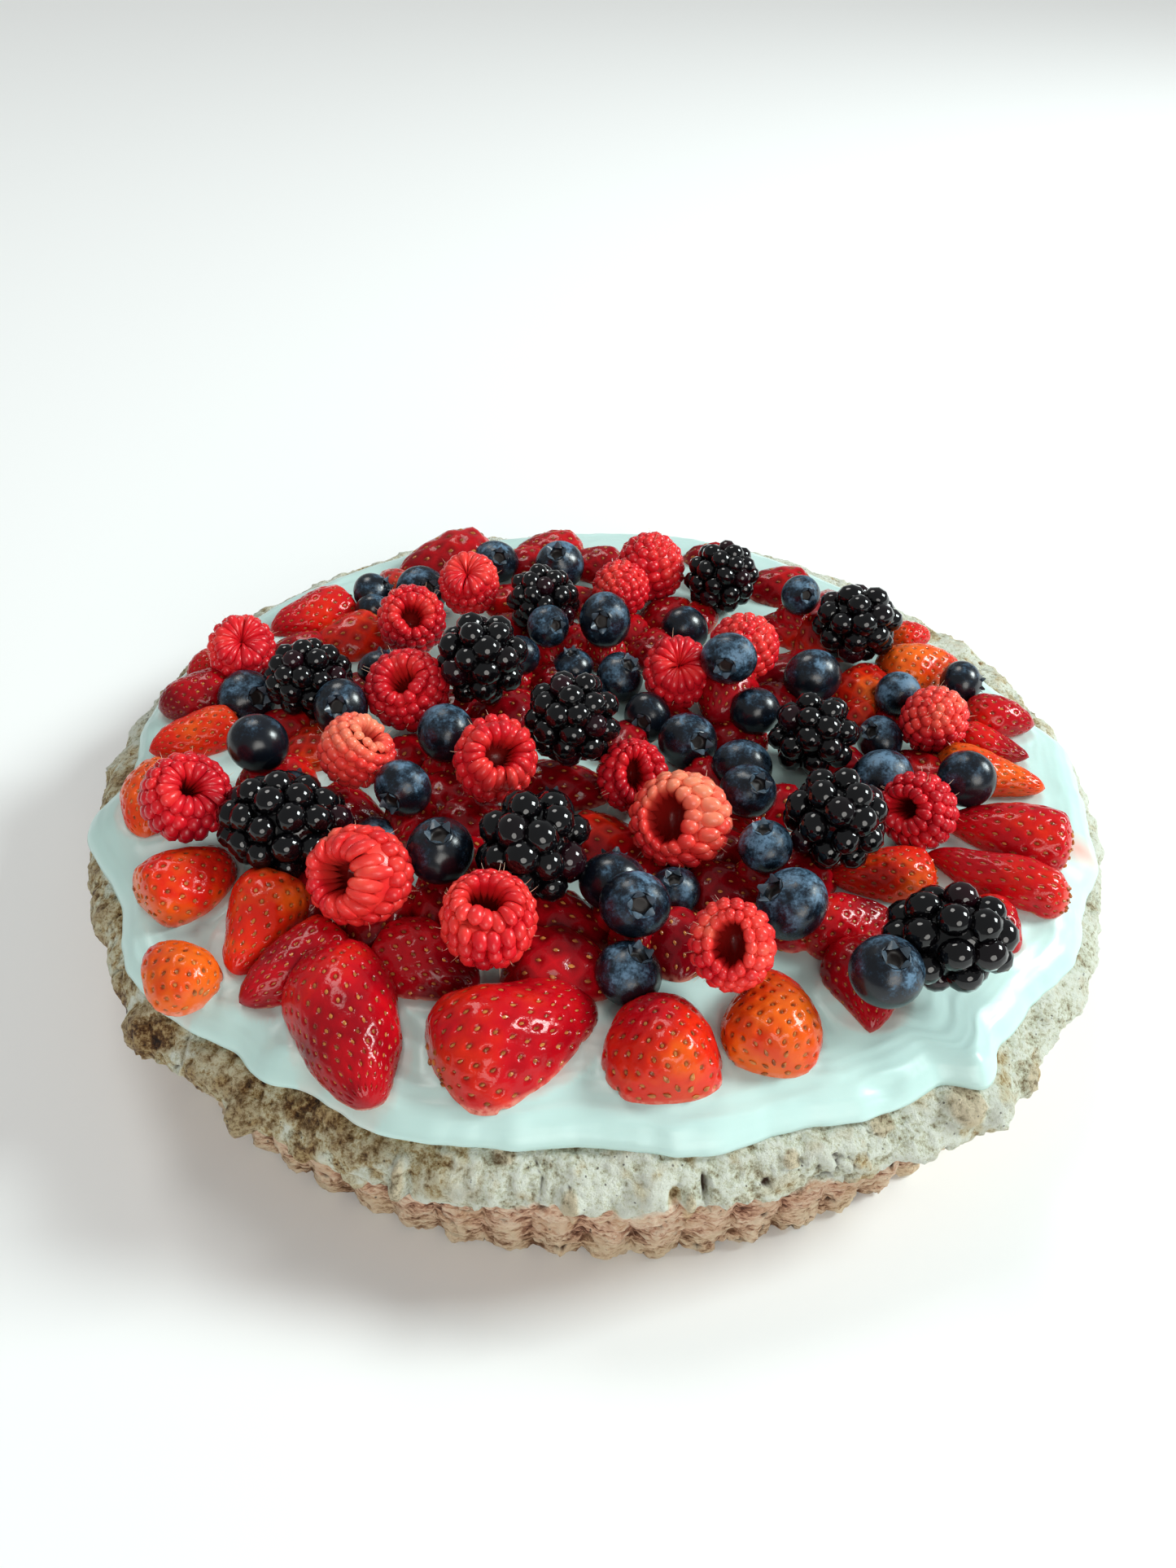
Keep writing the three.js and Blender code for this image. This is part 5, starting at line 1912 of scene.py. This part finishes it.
draw = random.Random(12)
for number, (size, turn, tilt) in enumerate(LONE_BLUEBERRIES, 1):
    name = f"loose_blueberry_{number:02d}"
    piece = placed_whole(BLUEBERRY_MASTER, size, turn, tilt, name, draw, LOOSE_SQUASH)
    put_in_box(piece, f"blueberry_{number:02d}")
    store_bloom_and_sheen(piece, draw.random())
    dress(piece, BLUEBERRY, "blueberry", f"blueberry_{number:02d}")
heaped = []
for number, (across, away, height, size, turn, tilt) in enumerate(HEAP_BLUEBERRIES, 1):
    piece = placed_whole(BLUEBERRY_MASTER, size, turn, tilt, "heaped_blueberry", draw, HEAP_SQUASH)
    piece.data.transform(Matrix.Translation((across * MM, away * MM, height * MM)))
    store_bloom_and_sheen(piece, heap_bloom(number) + draw.uniform(-BLOOM_VARIES, BLOOM_VARIES))
    heaped.append(piece)
heap_of_blueberries = join(heaped, "heaped_blueberries")
dress(heap_of_blueberries, BLUEBERRY, "mixed_fruit", "fruit_heap")
print("blueberries in the heap:", len(HEAP_BLUEBERRIES))

# %% [markdown]
# ## The strawberries of the heap
#
# Most of the heap is strawberry pieces that lie under the whole fruit. They are cut from two simpler
# berries, because little of each one shows. A small piece also stands under each raised blueberry, so
# that none hangs in the air.

# %% Strawberries of the heap
# How much longer and wider the pieces are than the rows say, so that they close up
SPREAD = 1.3
# Across, away, length, width, height over the cut face, direction of the tip, and ripeness
HEAP_STRAWBERRIES = [
    (-81, 41, 22, 18, 11, -149, 0.1), (-95, 33, 18, 14, 9, -176, 0.6),
    (-81, -16, 16, 16, 10, -143, 0.1), (-88, -31, 20, 16, 10, -152, 0.6),
    (-6, -92, 22, 21, 12, -3, 0.6), (19, -83, 16, 18, 10, -91, 0.8), (34, -63, 19, 18, 10, 0, 0.75),
    (72, 63, 34, 20, 13, 80, 0.6), (57, 84, 20, 18, 11, 168, 0.6), (57, 58, 17, 18, 10, 158, 0.6),
    (36, 104, 17, 14, 9, 172, 0.6), (37, 92, 18, 16, 9, 90, 0.6), (19, 62, 16, 18, 10, 167, 0.7),
    (14, 41, 14, 18, 10, 175, 0.7), (51, 29, 26, 20, 11, -172, 0.7), (47, 13, 19, 18, 10, -164, 0.7),
    (79, 25, 20, 17, 11, 80, 0.3), (73, 11, 11, 14, 9, 162, 0.3), (-5, 94, 17, 17, 11, 174, 0.6),
    (-21, 103, 20, 18, 11, -176, 0.6), (-30, 94, 14, 15, 10, -176, 0.6),
    (-56, 91, 27, 26, 16, -169, 0.6), (-69, 75, 20, 14, 9, 120, 0.2), (-1, 37, 13, 14, 9, -176, 0.7),
    (-29, 4, 18, 20, 11, 173, 0.75), (-8, -27, 21, 18, 10, 9, 0.7), (-41, -33, 20, 18, 10, 95, 0.75),
    (-31, -43, 17, 18, 10, 9, 0.75), (5, -48, 20, 20, 10, 1, 0.3), (-35, -74, 14, 20, 11, 8, 0.8),
    (-64, -40, 16, 18, 10, -5, 0.7), (-6, -77, 20, 20, 10, -17, 0.7),
    (-41, -12, 19, 18, 10, -145, 0.75), (34, 0, 13, 16, 9, 152, 0.7), (46, -34, 14, 16, 10, -145, 0.7),
    (-16, 23, 15, 15, 9, 170, 0.7), (-32, 53, 15, 15, 9, 110, 0.7), (0, 60, 14, 15, 9, 20, 0.7),
    (-50, -80, 20, 18, 11, -100, 0.7), (-68, -72, 15, 15, 9, -120, 0.7),
    (-28, -60, 15, 15, 9, -60, 0.7), (16, -60, 14, 14, 9, 40, 0.7), (34, -50, 14, 14, 9, 0, 0.7),
    (52, -56, 16, 16, 10, 60, 0.7), (31, -24, 14, 14, 9, -60, 0.7), (70, -13, 14, 13, 9, -30, 0.7),
    (88, -13, 16, 14, 9, 120, 0.6), (6, -6, 15, 14, 9, 100, 0.7), (23, 6, 13, 12, 8, -20, 0.7),
    (-53, -15, 16, 15, 9, 60, 0.7), (-90, -5, 15, 14, 9, 170, 0.5), (-42, 8, 14, 14, 9, 40, 0.7),
    (-74, 17, 14, 13, 8, 170, 0.6), (-9, 46, 14, 13, 9, 80, 0.7), (9, 50, 13, 13, 9, -70, 0.7),
    (-33, 69, 16, 15, 9, 140, 0.6), (-7, 71, 15, 14, 9, 20, 0.6), (31, 65, 15, 14, 9, 60, 0.6),
]
HEAP_RIPER = 0.12
# How far below the cream's top the heap's cut faces lie, in mm
HEAP_SUNK = 0.3
# A blueberry gets a piece under it where its lowest point is so far over the cream, and the piece
# reaches so far into the berry and is so ripe, narrow, long and wide at least
PROP_FROM = 2
PROP_REACH = 3.4
PRESSED_IN = 0.8
PROP_RIPE = 0.75
PROP_TAPER = 0.1
PROP_LONG = 14
PROP_WIDE = 12


def prop_row(across, away, height, size, turn, _):
    high = height - size / 2 - CREAM_TOP + PROP_REACH + PRESSED_IN
    wide = max(PROP_WIDE, high + 2)
    return across, away, max(PROP_LONG, wide), wide, high, turn, PROP_RIPE, PROP_TAPER


draw = random.Random(14)
rows = [(x, y, SPREAD * long, SPREAD * wide, high, turn, ripe + HEAP_RIPER, draw.uniform(0, 0.3))
        for x, y, long, wide, high, turn, ripe in HEAP_STRAWBERRIES]
props = [prop_row(*row) for row in HEAP_BLUEBERRIES if row[2] - row[3] / 2 - CREAM_TOP > PROP_FROM]
for name, kind_rows in (("heaped_strawberries", rows), ("tucked_strawberries", props)):
    heaped = [cut_strawberry(row, CREAM_TOP - HEAP_SUNK, HEAP_BERRIES, "heaped_strawberry", draw)
              for row in kind_rows]
    dress(join(heaped, name), STRAWBERRY, "mixed_fruit", "fruit_heap")
print("strawberry pieces in the heap:", len(rows), "and", len(props), "under blueberries")

# %% [markdown]
# ## Finish
#
# The shapes that were only copied are removed. The floor is rendered, but it is no part of the cake.
# The number of triangles in all, and of the biggest pieces, is printed.

# %% Clear the masters away
MASTERS = [
    *SHOWN_BERRIES, *HEAP_BERRIES, *RASPBERRY_MASTERS, *BRAMBLE_MASTERS, BLUEBERRY_MASTER, SEED, HAIR,
    RASPBERRY_BEAD, BRAMBLE_BEAD,
]
for shape in MASTERS:
    bpy.data.objects.remove(shape)

# %% Floor
FLOOR_SIZE = 6.0
FLOOR_BELOW = 0.0005
bpy.ops.object.select_all(action="DESELECT")
bpy.ops.mesh.primitive_plane_add(size=FLOOR_SIZE, location=(0, 0, -FLOOR_BELOW))
floor = fresh("floor")
apply_place(floor)
floor_material, _, floor_shader = start_material("pale_floor")
floor_shader.inputs["Base Color"].default_value = (0.93, 0.94, 0.94, 1.0)
floor_shader.inputs["Roughness"].default_value = 0.9
floor.data.materials.append(floor_material)

# %% Finish
counts = {}
for piece in bpy.data.objects:
    if piece.type == "MESH" and not piece.hide_render:
        piece.data.calc_loop_triangles()
        counts[piece.name] = len(piece.data.loop_triangles)
biggest = sorted(counts.items(), key=lambda row: -row[1])[:8]
print("triangles in all:", sum(counts.values()), "most:", biggest)
